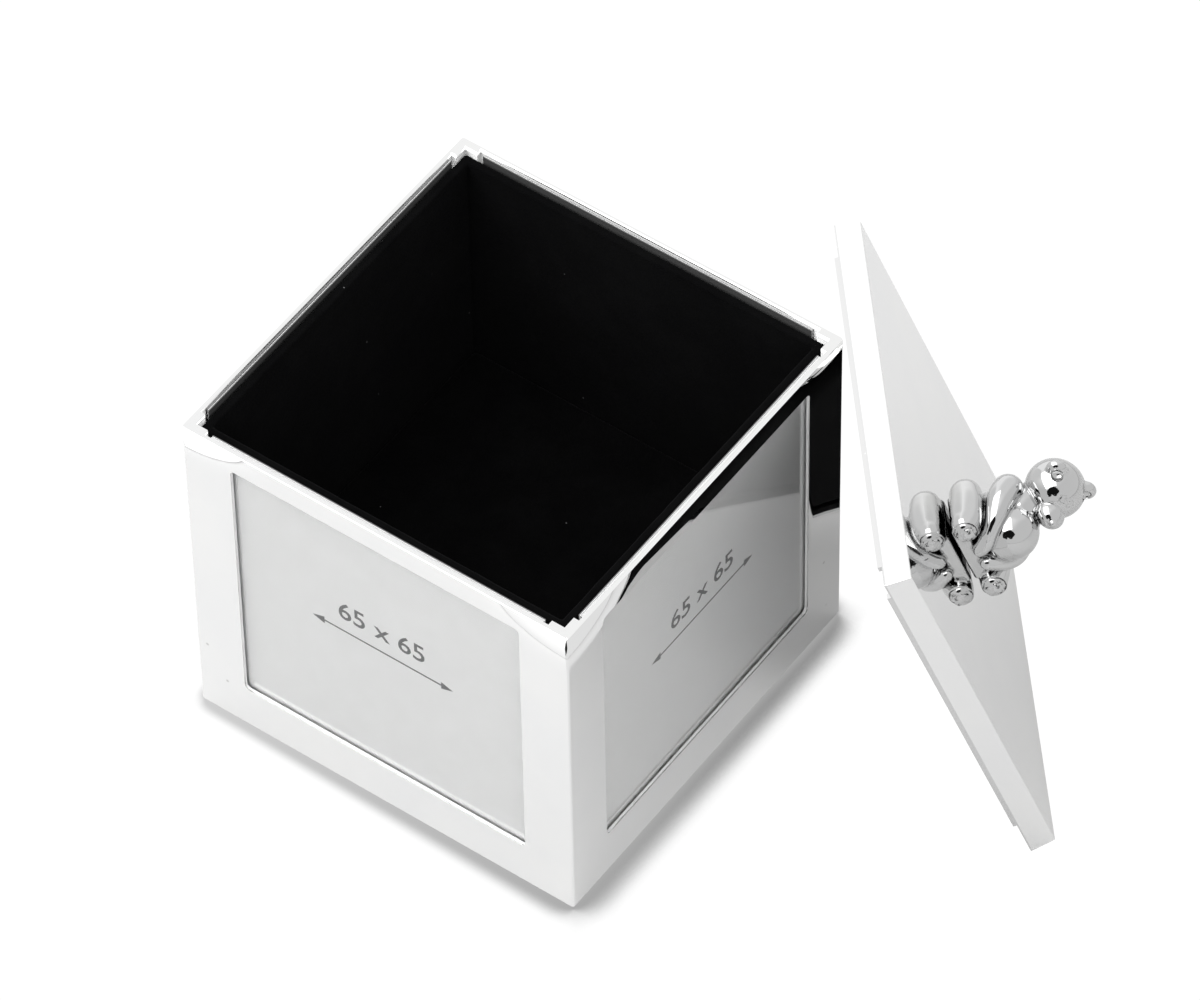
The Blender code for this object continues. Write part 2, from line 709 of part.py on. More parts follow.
def make_cylinder():
    """The pinned cylinder on its arbor, with the crown wheel that drives it and the great wheel it drives."""
    axis = frame_at("cylinder_axis", (0.0, 0.0, AXIS_Z), (0.0, math.radians(90.0), 0.0))
    bore = CYLINDER_ARBOR + GAP
    pinned = make_pinned_surface("pin_cylinder")
    pinned_bore = drum("pinned_bore", bore, CYLINDER_LEFT - THROUGH, CYLINDER_RIGHT + THROUGH, sides=20)
    cut(pinned, pinned_bore)
    tip = CROWN_RADIUS + GAP
    root = CROWN_RADIUS - 0.9 * MM
    ring_inner = root - 0.7 * MM
    crown = drum("contrate_wheel", tip, CROWN_DISC_X, CROWN_DISC_X + 0.9 * MM, sides=30, material=BRASS)
    teeth = []
    for k in range(CROWN_TEETH):
        angle = 2 * math.pi * k / CROWN_TEETH
        half = CROWN_TOOTH_WIDTH / 2
        for radius, side in ((root, -half), (tip, -half), (tip, half), (root, half)):
            along = math.sqrt(radius * radius - half * half)
            c = math.cos(angle)
            s = math.sin(angle)
            teeth.append((along * c - side * s, along * s + side * c))
    castle = plate_tool("crown_teeth", [teeth, circle(ring_inner, 24)], CROWN_TIP_X, CROWN_DISC_X + 0.3 * MM)
    crown_bore = drum("crown_bore", bore, CROWN_DISC_X - THROUGH, CROWN_DISC_X + THROUGH, sides=20)
    join(crown, castle)
    cut(crown, crown_bore)
    great = plate(
        "great_wheel",
        [gear_outline(GREAT_TEETH, GOVERNOR_MODULE, math.radians(90.0)), circle(bore, 20)],
        GREAT_X,
        GREAT_X + WHEEL_THICKNESS,
        BRASS,
    )
    arbor = drum(
        "cylinder_arbor",
        CYLINDER_ARBOR,
        CROWN_TIP_X + 0.5 * MM,
        BRACKET_RIGHT_X + BRACKET_THICKNESS + 0.3 * MM,
        sides=20,
        material=STEEL,
    )
    carry(axis, pinned, pinned_bore, crown, castle, crown_bore, great, arbor)


def bearing_outline(half_width, foot, rise):
    """An upright plate's outline with a round top centred on the axis, in the cylinder's own frame."""
    turns = [math.radians(15.0 * k - 90.0) for k in range(13)]
    arc = [(-half_width * math.cos(a), half_width * math.sin(a)) for a in turns]
    return [(foot, -half_width)] + [(x + rise, y) for x, y in arc] + [(foot, half_width)]


def make_brackets():
    """The two uprights that carry the cylinder's arbor, each with a foot on the bedplate."""
    axis = frame_at("bracket_frame", (0.0, 0.0, AXIS_Z), (0.0, math.radians(90.0), 0.0))
    bore = circle(CYLINDER_ARBOR + GAP, 20)
    foot = AXIS_Z - TRAIN_FLOOR
    left_x = CYLINDER_LEFT - 0.5 * MM - BRACKET_THICKNESS
    uprights = (
        ("bracket_left", 4.0 * MM, left_x, left_x - 2.2 * MM, left_x + BRACKET_THICKNESS - 0.1 * MM),
        (
            "bracket_right",
            3.4 * MM,
            BRACKET_RIGHT_X,
            BRACKET_RIGHT_X + 0.1 * MM,
            BRACKET_RIGHT_X + BRACKET_THICKNESS + 2.4 * MM,
        ),
    )
    for name, half_width, left, foot_left, foot_right in uprights:
        upright = plate_tool(
            name, [bearing_outline(half_width, foot, 0.0), bore], left, left + BRACKET_THICKNESS, STEEL
        )
        flange = block(
            name + "_foot",
            (foot - 0.8 * MM, -half_width + 0.1 * MM, foot_left),
            (foot - 0.01 * MM, half_width - 0.1 * MM, foot_right),
        )
        join(upright, flange)
        carry(axis, upright, flange)


def make_comb():
    """The steel comb, its base block and its two screws."""
    tip_y = -(CYLINDER_RADIUS + PIN_HEIGHT + COMB_TIP_PLAY)
    left = CYLINDER_LEFT - 0.3 * MM
    right = CYLINDER_RIGHT + 0.3 * MM
    outline = [(left, COMB_BACK)]
    slit_half = (NOTE_PITCH - REED_WIDTH) / 2
    outline.append((left, COMB_ROOT_BASS))
    for note in range(NOTE_COUNT):
        low = CYLINDER_LEFT + note * NOTE_PITCH + slit_half
        high = low + REED_WIDTH
        share = note / (NOTE_COUNT - 1)
        root = COMB_ROOT_BASS + share * (COMB_ROOT_TREBLE - COMB_ROOT_BASS)
        outline += [(low, root), (low, tip_y), (high, tip_y), (high, root)]
    outline += [(right, COMB_ROOT_TREBLE), (right, COMB_BACK)]
    outline.reverse()
    screw_y = (COMB_BACK + COMB_ROOT_BASS) / 2
    places = [(left + 4.5 * MM, screw_y), (right - 4.5 * MM, screw_y)]
    low = AXIS_Z - COMB_THICKNESS / 2
    high = AXIS_Z + COMB_THICKNESS / 2
    holes = [circle(COMB_SCREW_SHANK + GAP, 20, at) for at in places]
    plate("comb", [outline] + holes, low, high, STEEL)
    base = block(
        "comb_base",
        (left, COMB_BACK, TRAIN_FLOOR),
        (right, COMB_ROOT_BASS - 0.6 * MM, low - GAP),
        BRASS,
    )
    tip = low - GAP - 4.0 * MM
    for index, at in enumerate(places):
        cut(base, drum(f"comb_base_hole_{index}", COMB_SCREW_SHANK + GAP, tip - 0.5 * MM, high, at, 20))
        name = f"comb_screw_{index + 1}"
        head = (high + GAP, high + 1.4 * MM)
        slotted_screw(name, COMB_SCREW_SHANK, COMB_SCREW_HEAD, tip, *head, at, STEEL)


def make_worm():
    """The one-start right-handed worm and its two pivots, as a radius that depends on height and angle."""
    low = AXIS_Z - WORM_LENGTH / 2
    high = AXIS_Z + WORM_LENGTH / 2
    pivot_low = low - PIVOT_REACH
    pivot_high = high + ARM_THICKNESS + 2.7 * MM
    sides = 8
    rows = int(round(WORM_LENGTH / (WORM_PITCH / 6)))
    levels = [low + (high - low) * k / rows for k in range(rows + 1)]
    levels = [pivot_low, low - 0.05 * MM] + levels + [high + 0.05 * MM, pivot_high]
    shape = bmesh.new()
    rings = []
    for level in levels:
        ring = []
        for side in range(sides):
            angle = 2 * math.pi * side / sides
            radius = GOVERNOR_ARBOR
            if low <= level <= high:
                turns = (level - AXIS_Z) / WORM_PITCH - (angle / (2 * math.pi) + 0.25)
                away = abs(turns - round(turns)) * 2
                rise = min(1.0, max(0.0, (0.62 - away) / 0.42))
                radius = WORM_ROOT + (WORM_CREST - WORM_ROOT) * rise
            ring.append(shape.verts.new((radius * math.cos(angle), radius * math.sin(angle), level)))
        rings.append(ring)
    for lower, upper in zip(rings, rings[1:]):
        for side in range(sides):
            following = (side + 1) % sides
            shape.faces.new((lower[side], lower[following], upper[following], upper[side]))
    shape.faces.new(reversed(rings[0]))
    shape.faces.new(rings[-1])
    bmesh.ops.triangulate(shape, faces=shape.faces)
    return from_bmesh("governor_worm", shape, STEEL)


def make_governor():
    """The speed governor: a pinion and worm wheel on one arbor, and a worm that spins the air fan."""
    turn = (0.0, math.radians(90.0), 0.0)
    axis = frame_at("governor_axis", (0.0, GOVERNOR_Y, AXIS_Z), turn)
    bore = GOVERNOR_ARBOR + 0.2 * MM
    quarter = math.radians(90.0)
    pinion = plate(
        "governor_pinion",
        [
            gear_outline(PINION_TEETH, GOVERNOR_MODULE, -quarter + math.pi / PINION_TEETH),
            circle(bore, 16),
        ],
        GREAT_X - 0.1 * MM,
        GREAT_X + WHEEL_THICKNESS + 0.1 * MM,
        STEEL,
    )
    wheel = plate(
        "governor_wheel",
        [
            gear_outline(WORM_WHEEL_TEETH, GOVERNOR_MODULE, quarter + math.pi / WORM_WHEEL_TEETH),
            circle(bore, 16),
        ],
        WORM_WHEEL_X,
        WORM_WHEEL_X + 1.0 * MM,
        BRASS,
    )
    left_cheek_x = GREAT_X - 0.6 * MM - CHEEK_THICKNESS
    right_cheek_x = WORM_WHEEL_X + 1.0 * MM + 0.7 * MM
    ends = (left_cheek_x + 0.2 * MM, right_cheek_x + 0.7 * MM)
    arbor = drum("governor_arbor", GOVERNOR_ARBOR, *ends, sides=16, material=STEEL)
    carry(axis, pinion, wheel, arbor)
    worm_axis = frame_at("fly_axis", (WORM_X, WORM_Y, 0.0), (0.0, 0.0, 0.0))
    worm = make_worm()
    arm_low = AXIS_Z + WORM_LENGTH / 2 + GAP
    arm_high = arm_low + ARM_THICKNESS
    fan_low = arm_high + GAP
    fan = drum("air_fan", 1.2 * MM, fan_low, fan_low + FAN_HEIGHT, sides=20, material=BLACK_PLASTIC)
    blade = block(
        "fan_blade",
        (-FAN_RADIUS, -0.3 * MM, fan_low + 0.1 * MM),
        (FAN_RADIUS, 0.3 * MM, fan_low + FAN_HEIGHT - 0.1 * MM),
    )
    fan_bore = drum("fan_bore", bore, fan_low - THROUGH, fan_low + FAN_HEIGHT + THROUGH, sides=16)
    join(fan, blade)
    cut(fan, fan_bore)
    carry(worm_axis, worm, fan, blade, fan_bore)
    make_governor_frame(left_cheek_x, right_cheek_x, arm_low, arm_high)


def make_governor_frame(left_cheek_x, right_cheek_x, arm_low, arm_high):
    """The frame that carries the governor's arbor in two cheeks and the worm between a step and an arm."""
    sole_top = TRAIN_FLOOR + SOLE_THICKNESS
    sunk = sole_top - SOLE_THICKNESS / 2
    inset = 0.05 * GAP
    back = WORM_Y + WORM_CREST + POST_CLEARANCE
    front = GREAT_RADIUS + RUNNING
    frame = block(
        "governor_frame",
        (left_cheek_x, front, TRAIN_FLOOR),
        (right_cheek_x + CHEEK_THICKNESS, back + POST_THICKNESS + GAP / 3, sole_top),
        BRASS,
    )
    left_front = CYLINDER_RADIUS + PIN_HEIGHT + RUNNING
    cheeks = (
        ("left_cheek", left_cheek_x, left_front, GOVERNOR_Y + CHEEK_HALF_WIDTH),
        ("right_cheek", right_cheek_x, GOVERNOR_Y - CHEEK_HALF_WIDTH, GOVERNOR_Y + CHEEK_HALF_WIDTH),
    )
    for name, x, front, rear in cheeks:
        low = (x + inset, front, sunk)
        high = (x + CHEEK_THICKNESS - inset, rear, AXIS_Z + CHEEK_RISE)
        join(frame, block(name, low, high))
    half = POST_HALF_WIDTH
    step = STEP_HALF_WIDTH
    step_top = AXIS_Z - WORM_LENGTH / 2 - RUNNING
    join(
        frame,
        block("worm_post", (WORM_X - half, back, sunk), (WORM_X + half, back + POST_THICKNESS, arm_high)),
        block(
            "worm_arm",
            (WORM_X - half + GAP / 3, WORM_Y - POST_HALF_WIDTH, arm_low),
            (WORM_X + half - GAP / 3, back + POST_THICKNESS / 2, arm_high - inset),
        ),
        block("worm_step", (WORM_X - step, WORM_Y - step, sunk), (WORM_X + step, WORM_Y + step, step_top)),
    )
    pivot_hole = GOVERNOR_ARBOR + GAP
    step_floor = AXIS_Z - WORM_LENGTH / 2 - PIVOT_REACH - GAP
    at = (WORM_X, WORM_Y)
    across = drum("cheek_bore", pivot_hole, left_cheek_x - THROUGH, right_cheek_x + THROUGH, sides=16)
    across.location = (0.0, GOVERNOR_Y, AXIS_Z)
    across.rotation_euler = (0.0, math.radians(90.0), 0.0)
    cut(
        frame,
        across,
        drum("arm_bore", pivot_hole, arm_low - THROUGH, arm_high + THROUGH, at, 16),
        drum("step_bore", pivot_hole, step_floor, AXIS_Z - WORM_LENGTH / 2, at, 16),
    )


def lid_rest_frame():
    """Where the lid stands: on its +X edge on the table, leaning so that it just clears the box's corner."""
    reach = LID_SIDE * math.cos(LID_LEAN) - 1.5 * MM
    contact = Vector((HALF, HALF, min(BOX_HEIGHT, reach)))
    turn = Matrix.Rotation(LID_HEADING, 3, "Z") @ Matrix.Rotation(math.radians(90.0) - LID_LEAN, 3, "Y")
    along = LID_HALF - (contact.z + LEAN_PLAY * math.sin(LID_LEAN)) / math.cos(LID_LEAN)
    place = contact - turn @ Vector((along, LEAN_OFFSET, -LEAN_PLAY))
    empty = frame_at("lid_rest", place, (0.0, 0.0, 0.0))
    empty.rotation_euler = turn.to_euler()
    return empty


def make_lid(stand):
    """The silver cover with drafted sides, the tongue frame and velvet board inside it."""
    shape = bmesh.new()
    size = (LID_SIDE, LID_SIDE, LID_HEIGHT, 1.0)
    bmesh.ops.create_cube(
        shape, size=1.0, matrix=Matrix.Translation((0.0, 0.0, LID_HEIGHT / 2)) @ Matrix.Diagonal(size)
    )
    inward = 1.0 - LID_DRAFT / LID_HALF
    for corner in shape.verts:
        if corner.co.z > LID_HEIGHT / 2:
            corner.co.x *= inward
            corner.co.y *= inward
    cover = from_bmesh("lid_cover", shape, SILVER)
    round_edges(cover, 0.2 * MM)
    cavity_half = LID_HALF - LID_DRAFT - LID_WALL + 0.1 * MM
    cavity_top = (cavity_half, cavity_half, LID_CAVITY_TOP)
    cavity = block("lid_cavity", (-cavity_half, -cavity_half, -THROUGH), cavity_top)
    screw_hole = drum("lid_screw_hole", FINIAL_SCREW_SHANK + GAP, 0.0, LID_HEIGHT + THROUGH, sides=20)
    cut(cover, cavity, screw_hole)
    ring_outer = cavity_half - GAP
    tongue_outer = LID_HALF - TONGUE_INSET
    tongue_inner = tongue_outer - TONGUE_THICKNESS
    ring_top = LID_CAVITY_TOP - GAP
    frame = block("lid_frame", (-ring_outer, -ring_outer, GAP), (ring_outer, ring_outer, ring_top), SILVER)
    tools = []
    tongue_half = LID_HALF - TONGUE_CORNER
    for index, side in enumerate(SIDES):
        tongue = block(
            "tongue_" + side,
            (tongue_inner - OVERLAP, -tongue_half, -TONGUE_DEPTH),
            (tongue_outer, tongue_half, GAP + OVERLAP),
        )
        tongue.rotation_euler.z = index * math.pi / 2
        join(frame, tongue)
        tools.append(tongue)
    hollow_low = (-tongue_inner, -tongue_inner, -THROUGH - TONGUE_DEPTH)
    frame_hollow = block("lid_frame_hollow", hollow_low, (tongue_inner, tongue_inner, LID_HEIGHT))
    cut(frame, frame_hollow)
    board_half = tongue_inner - GAP
    board = block("lid_pad", (-board_half, -board_half, 0.2 * MM), (board_half, board_half, ring_top), VELVET)
    head_top = LID_CAVITY_TOP - GAP
    head_bottom = head_top - 1.1 * MM
    recess = drum("pad_recess", FINIAL_SCREW_HEAD + GAP, head_bottom - GAP, LID_HEIGHT, sides=24)
    cut(board, recess)
    screw = slotted_screw(
        "finial_screw",
        FINIAL_SCREW_SHANK,
        FINIAL_SCREW_HEAD,
        LID_HEIGHT + FINIAL_SCREW_ENTRY,
        head_top,
        head_bottom,
        (0.0, 0.0),
        STEEL,
    )
    slot = bpy.data.objects["finial_screw_slot"]
    carry(stand, cover, cavity, screw_hole, frame, frame_hollow, board, recess, screw, slot, *tools)


def bear_body():
    """The body's rounded forms: a name, a centre and half sizes, in bear units in the bear's own frame."""
    forms = [
        ("belly", (0.0, -3.7, 8.9), (5.4, 5.2, 5.6)),
        ("seat", (0.0, -0.6, 6.3), (6.0, 6.0, 6.3)),
        ("chest", (-0.9, 1.0, 11.5), (4.9, 4.6, 4.6)),
        ("near_leg", (-5.6, -1.5, 3.1), (3.0, 6.4, 3.0)),
        ("far_leg", (5.9, -1.8, 3.1), (3.0, 6.4, 3.0)),
        ("near_foot", (-6.0, -7.4, 3.2), (2.7, 1.5, 3.1)),
        ("far_foot", (6.4, -8.4, 3.2), (2.7, 1.5, 3.1)),
    ]
    arm = (
        ((4.9, 2.4, 10.1), 3.0),
        ((5.7, -0.6, 9.3), 2.7),
        ((5.8, -3.9, 7.9), 2.2),
        ((4.3, -6.7, 6.3), 1.8),
        ((2.4, -8.2, 4.9), 1.7),
    )
    for side in (-1.0, 1.0):
        for index, ((x, y, z), radius) in enumerate(arm):
            forms.append((f"arm_{side:+.0f}_{index}", (side * x, y, z), (radius, radius, radius)))
    return forms


def bear_head():
    """The head's forms in the head's own frame, whose origin is the middle of the skull."""
    forms = [
        ("skull", (0.0, 0.0, 0.0), (5.7, 5.45, 5.4)),
        ("muzzle", (0.0, -6.3, -1.1), (2.3, 2.2, 2.0)),
        ("nose", (0.0, -8.3, -0.3), (0.8, 0.6, 0.6)),
    ]
    for side in (-1.0, 1.0):
        forms.append((f"ear_{side:+.0f}", (side * 3.9, 0.0, 3.9), (2.0, 1.2, 1.9)))
        forms.append((f"eye_{side:+.0f}", (side * 1.1, -4.4, 2.7), (0.6, 0.6, 0.6)))
    return forms


def ellipsoid(name, frame, centre, radii, material=None):
    """A rounded form in bear units, placed by a frame matrix."""
    fineness = 14 if max(radii) > 4.5 else 10
    shape = bmesh.new()
    place = frame @ Matrix.Translation([c * BEAR_UNIT for c in centre])
    scaled = Matrix.Diagonal([r * BEAR_UNIT for r in radii] + [1.0])
    rings = fineness // 2 + 1
    bmesh.ops.create_uvsphere(shape, u_segments=fineness, v_segments=rings, radius=1.0, matrix=place @ scaled)
    return from_bmesh(name, shape, material)


def make_bear(stand):
    """The seated bear on the lid, one casting of rounded forms with a flat seat and a screw hole."""
    seat = LID_HEIGHT + GAP
    own = frame_at("bear_frame", (BEAR_PLACE[0], BEAR_PLACE[1], seat), (0.0, 0.0, BEAR_TURN))
    own.parent = stand
    body = bear_body()
    upright = Matrix.Identity(4)
    head_frame = (
        Matrix.Translation([c * BEAR_UNIT for c in HEAD_PLACE])
        @ Matrix.Rotation(HEAD_TURN, 4, "Z")
        @ Matrix.Rotation(HEAD_NOD, 4, "X")
        @ Matrix.Rotation(HEAD_TILT, 4, "Y")
    )
    bear = ellipsoid("bear_finial", upright, body[0][1], body[0][2], SILVER)
    carry(own, bear)
    placed = [(upright, form) for form in body[1:]] + [(head_frame, form) for form in bear_head()]
    for frame, (name, centre, radii) in placed:
        lump = ellipsoid("bear_" + name, frame, centre, radii)
        join(bear, lump)
        carry(own, lump)
    reach = 30 * BEAR_UNIT
    below = block("bear_below", (-reach, -reach, -reach), (reach, reach, 0.0))
    hole_at = Matrix.Rotation(-BEAR_TURN, 2) @ Vector((-BEAR_PLACE[0], -BEAR_PLACE[1]))
    hole_top = FINIAL_SCREW_ENTRY + GAP
    hole = drum("bear_screw_hole", FINIAL_SCREW_SHANK + GAP, -THROUGH, hole_top, (hole_at.x, hole_at.y), 16)
    cut(bear, below, hole)
    carry(own, below, hole)


make_outer_shell()
make_liner()
make_photo_sheets()
make_base()
make_bedplate()
make_winder()
make_spring_housing()
make_cylinder()
make_brackets()
make_comb()
make_governor()
lid_stand = lid_rest_frame()
make_lid(lid_stand)
make_bear(lid_stand)
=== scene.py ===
"""Looks of a silver-plated musical keepsake box with a seated bear on its lid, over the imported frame."""

import math
from contextlib import contextmanager

import bmesh
import bpy
import numpy as np
from mathutils import Matrix, Vector


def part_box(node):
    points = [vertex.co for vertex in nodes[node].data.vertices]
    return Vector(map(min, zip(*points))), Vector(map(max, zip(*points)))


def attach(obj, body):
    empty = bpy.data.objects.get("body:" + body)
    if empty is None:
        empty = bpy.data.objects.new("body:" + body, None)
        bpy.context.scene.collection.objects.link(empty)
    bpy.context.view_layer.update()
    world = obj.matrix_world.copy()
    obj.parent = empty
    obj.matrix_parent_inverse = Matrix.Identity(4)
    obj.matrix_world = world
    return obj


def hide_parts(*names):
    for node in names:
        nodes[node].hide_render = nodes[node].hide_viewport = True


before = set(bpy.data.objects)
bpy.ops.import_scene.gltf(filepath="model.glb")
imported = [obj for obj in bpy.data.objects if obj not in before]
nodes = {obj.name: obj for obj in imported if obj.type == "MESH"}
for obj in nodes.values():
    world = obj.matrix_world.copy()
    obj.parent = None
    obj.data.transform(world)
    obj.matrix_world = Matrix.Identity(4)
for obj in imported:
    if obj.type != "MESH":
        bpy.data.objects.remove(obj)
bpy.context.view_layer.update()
MM = 0.001


# Places of the Mix node's sockets for colours and for vectors
COLOUR_A, COLOUR_B, COLOUR_OUT = 6, 7, 2
VECTOR_A, VECTOR_B, VECTOR_OUT = 4, 5, 1

# The box in millimetres: half its side, and its top
BOX_HALF = 42.0
BOX_TOP = 78.0


def grey(level):
    """A neutral colour."""
    return (level, level, level)


# Arithmetic on shader sockets
class Value:
    """One output of a graph's node. Arithmetic on it adds Math nodes."""

    def __init__(self, graph, socket):
        self.graph = graph
        self.socket = socket

    def __add__(self, other):
        return self.graph.maths("ADD", self, other)

    def __radd__(self, other):
        return self.graph.maths("ADD", other, self)

    def __sub__(self, other):
        return self.graph.maths("SUBTRACT", self, other)

    def __rsub__(self, other):
        return self.graph.maths("SUBTRACT", other, self)

    def __mul__(self, other):
        return self.graph.maths("MULTIPLY", self, other)

    def __rmul__(self, other):
        return self.graph.maths("MULTIPLY", other, self)

    def __truediv__(self, other):
        return self.graph.maths("DIVIDE", self, other)

    def __pow__(self, other):
        return self.graph.maths("POWER", self, other)

    def size(self):
        """The value without its sign."""
        return self.graph.maths("ABSOLUTE", self)

    def sign(self):
        """-1, 0 or 1."""
        return self.graph.maths("SIGN", self)

    def or_more(self, other):
        """The greater of two values."""
        return self.graph.maths("MAXIMUM", self, other)

    def or_less(self, other):
        """The smaller of two values."""
        return self.graph.maths("MINIMUM", self, other)

    def above(self, low, high):
        """0 below low, 1 above high, smooth between them."""
        settings = {"interpolation_type": "SMOOTHSTEP"}
        inputs = {"Value": self, "From Min": low, "From Max": high}
        return self.graph.add("ShaderNodeMapRange", settings, inputs)


class Graph:
    """A material's or world's node tree, with one method that adds any node."""

    def __init__(self, tree):
        self.tree = tree
        tree.nodes.clear()

    def add(self, kind, settings=None, inputs=None, output=0):
        """A node of any type with its settings and inputs. Returns one of its outputs, if it has any."""
        node = self.tree.nodes.new(kind)
        for key, value in (settings or {}).items():
            setattr(node, key, value)
        for key, value in (inputs or {}).items():
            self.join(node.inputs[key], value)
        return Value(self, node.outputs[output]) if len(node.outputs) else None

    def join(self, socket, value):
        """Links a value to a socket, or sets the socket's constant. Colours get an alpha of 1."""
        if isinstance(value, Value):
            self.tree.links.new(value.socket, socket)
        elif isinstance(value, tuple) and len(value) == 3 and socket.type == "RGBA":
            socket.default_value = value + (1.0,)
        else:
            socket.default_value = value

    def maths(self, operation, *terms):
        """A Math node on one or two values or numbers."""
        return self.add("ShaderNodeMath", {"operation": operation}, dict(enumerate(terms)))

    def vectors(self, operation, *terms, output=0):
        """A Vector Math node."""
        return self.add("ShaderNodeVectorMath", {"operation": operation}, dict(enumerate(terms)), output)

    def place(self):
        """The object coordinates in metres."""
        return self.add("ShaderNodeTexCoord", output="Object")

    def spread(self, size, turn=(0.0, 0.0, 0.0)):
        """Object coordinates turned, then divided by a size in millimetres for each axis."""
        as_point = {"vector_type": "POINT"}
        turned = self.add("ShaderNodeMapping", as_point, {"Vector": self.place(), "Rotation": turn})
        scale = tuple(1.0 / (s * MM) for s in size)
        return self.add("ShaderNodeMapping", as_point, {"Vector": turned, "Scale": scale})

    def axes(self):
        """The three object coordinates in millimetres."""
        place = self.spread((1.0, 1.0, 1.0))
        return [self.add("ShaderNodeSeparateXYZ", None, {0: place}, axis) for axis in range(3)]

    def noise(self, size, detail=3.0, roughness=0.55, place=None):
        """Cloudy noise whose lumps are about the given size in millimetres."""
        vector = self.spread((size,) * 3) if place is None else place
        inputs = {"Vector": vector, "Scale": 1.0, "Detail": detail, "Roughness": roughness}
        return self.add("ShaderNodeTexNoise", None, inputs)

    def cells(self, size):
        """The distance to the nearest of scattered points, in cells of about the given size."""
        inputs = {"Vector": self.spread((size,) * 3), "Scale": 1.0}
        return self.add("ShaderNodeTexVoronoi", {"feature": "F1"}, inputs)

    def blend(self, share, first, second):
        """A colour between two colours."""
        inputs = {"Factor": share, COLOUR_A: first, COLOUR_B: second}
        return self.add("ShaderNodeMix", {"data_type": "RGBA"}, inputs, COLOUR_OUT)

    def turn_normal(self, share, first, second):
        """A direction between two directions."""
        inputs = {"Factor": share, VECTOR_A: first, VECTOR_B: second}
        return self.add("ShaderNodeMix", {"data_type": "VECTOR"}, inputs, VECTOR_OUT)

    def shelter(self, samples, distance):
        """1 in the open, less where something stands within the distance."""
        inputs = {"Distance": distance}
        return self.add("ShaderNodeAmbientOcclusion", {"samples": samples}, inputs, "AO")

    def bump(self, height, distance, strength=1.0, under=None):
        """A normal from a height, over another normal if one is given."""
        inputs = {"Height": height, "Distance": distance, "Strength": strength}
        if under is not None:
            inputs["Normal"] = under
        return self.add("ShaderNodeBump", None, inputs)


def material(name, recipe):
    """A finish from a recipe of socket values, which may name a second finish and its share."""
    made = bpy.data.materials.new(name)
    made.use_nodes = True
    graph = Graph(made.node_tree)
    sockets = recipe(graph)
    share, second = sockets.pop("Second", (None, None))
    shader = graph.add("ShaderNodeBsdfPrincipled", None, sockets)
    if second is not None:
        other = graph.add("ShaderNodeBsdfPrincipled", None, second)
        shader = graph.add("ShaderNodeMixShader", None, {0: share, 1: shader, 2: other})
    graph.add("ShaderNodeOutputMaterial", None, {"Surface": shader})
    return made


# Finishes. Their numbers are sizes in millimetres, shares and reflectances, as the calls above name them
SHEET_SILVER = ((0.925, 0.925, 0.920), (0.905, 0.907, 0.908))
CAST_SILVER = ((0.64, 0.64, 0.636), (0.60, 0.602, 0.604))


def polished(graph, bright, dull, relief=None):
    """Mirror polish: faint wipe haze, hairline marks, a few specks and a slight waviness over any relief."""
    haze = graph.noise(22.0, 4.0)
    wiped = graph.noise(1.0, 2.0, 0.6, graph.spread((1.6, 26.0, 9.0), turn=(0.3, 0.4, 0.7)))
    hairline = graph.noise(1.0, 1.0, 0.5, graph.spread((0.12, 9.0, 9.0), turn=(0.2, 0.5, 0.4)))
    specks = 1.0 - graph.cells(9.0).above(0.018, 0.05)
    tint = graph.blend(haze.above(0.35, 0.7), bright, dull)
    colour = graph.blend(specks * 0.5, tint, (0.45, 0.44, 0.42))
    rough = 0.012 + 0.03 * haze.above(0.45, 0.75) + 0.018 * wiped.above(0.5, 0.8) + 0.2 * specks
    wave = graph.bump(graph.noise(30.0, 1.0), 0.02 * MM, 0.5, relief)
    normal = graph.bump(hairline, 0.0004 * MM, 0.5, wave)
    return {"Base Color": colour, "Metallic": 1.0, "Roughness": rough, "Normal": normal}


def silver_plate(graph):
    """The plated sheet of the lid, painted grey on its lower lip and on the frame below it: a painted
    reflection standing in for the darker look of the rounded edge.

    The height above the lip is measured along the leaning lid's upward direction, from its foot plane.
    """
    sockets = polished(graph, *SHEET_SILVER)
    x, y, z = graph.axes()
    height = 0.71581 * x + 0.61561 * y + 0.32961 * z - 82.743
    # Painted reflection: below the lip's height the colour turns grey, standing in for the darker line that
    # the rounded lower edge reflects.
    sockets["Base Color"] = graph.blend(height.above(0.42, 0.5), grey(0.72), sockets["Base Color"])
    return sockets


def silver_box(graph):
    """Plate on the box: pillowed top corners, a bowed strip, satin window reveals and a flat bright rim.

    The corners lean outward and up by the square of how near they are. The strip is at the back of the right
    face.
    """
    x, y, z = graph.axes()
    across = BOX_HALF - x.size()
    along = BOX_HALF - y.size()
    down = BOX_TOP - z
    rolled_over = 4.0
    edge = (1.0 - down / rolled_over).or_more(0.0)
    relief = graph.bump(-0.3 * edge * edge, 1.0 * MM, 1.0)
    sockets = polished(graph, *SHEET_SILVER, relief)
    pillow_width = 24.0
    pillow_height = 11.0
    beside = across.or_more(along) / pillow_width
    below = down / pillow_height
    near = 1.0 - (beside * beside + below * below) ** 0.5
    pillow = near.or_more(0.0)
    lean = 2.6 * pillow * pillow
    bowed = 0.055 * (y.above(31.0, 33.0) * x.above(41.0, 41.6))
    out_x = 0.25 * (lean * x.sign())
    out_y = 0.25 * (lean * y.sign())
    push = graph.add("ShaderNodeCombineXYZ", None, {0: out_x, 1: out_y, 2: lean + bowed})
    leaning = graph.vectors("NORMALIZE", graph.vectors("ADD", sockets["Normal"], push))
    inside = across.or_less(along).above(0.2, 0.26) * down.above(0.75, 0.85)
    sockets["Roughness"] = sockets["Roughness"] + 0.4 * inside
    sockets["Metallic"] = 1.0 - 0.7 * inside
    rim = 1.0 - down.above(0.42, 0.52)
    sockets["Normal"] = graph.turn_normal(rim, leaning, (0.0, 0.0, 1.0))
    return sockets


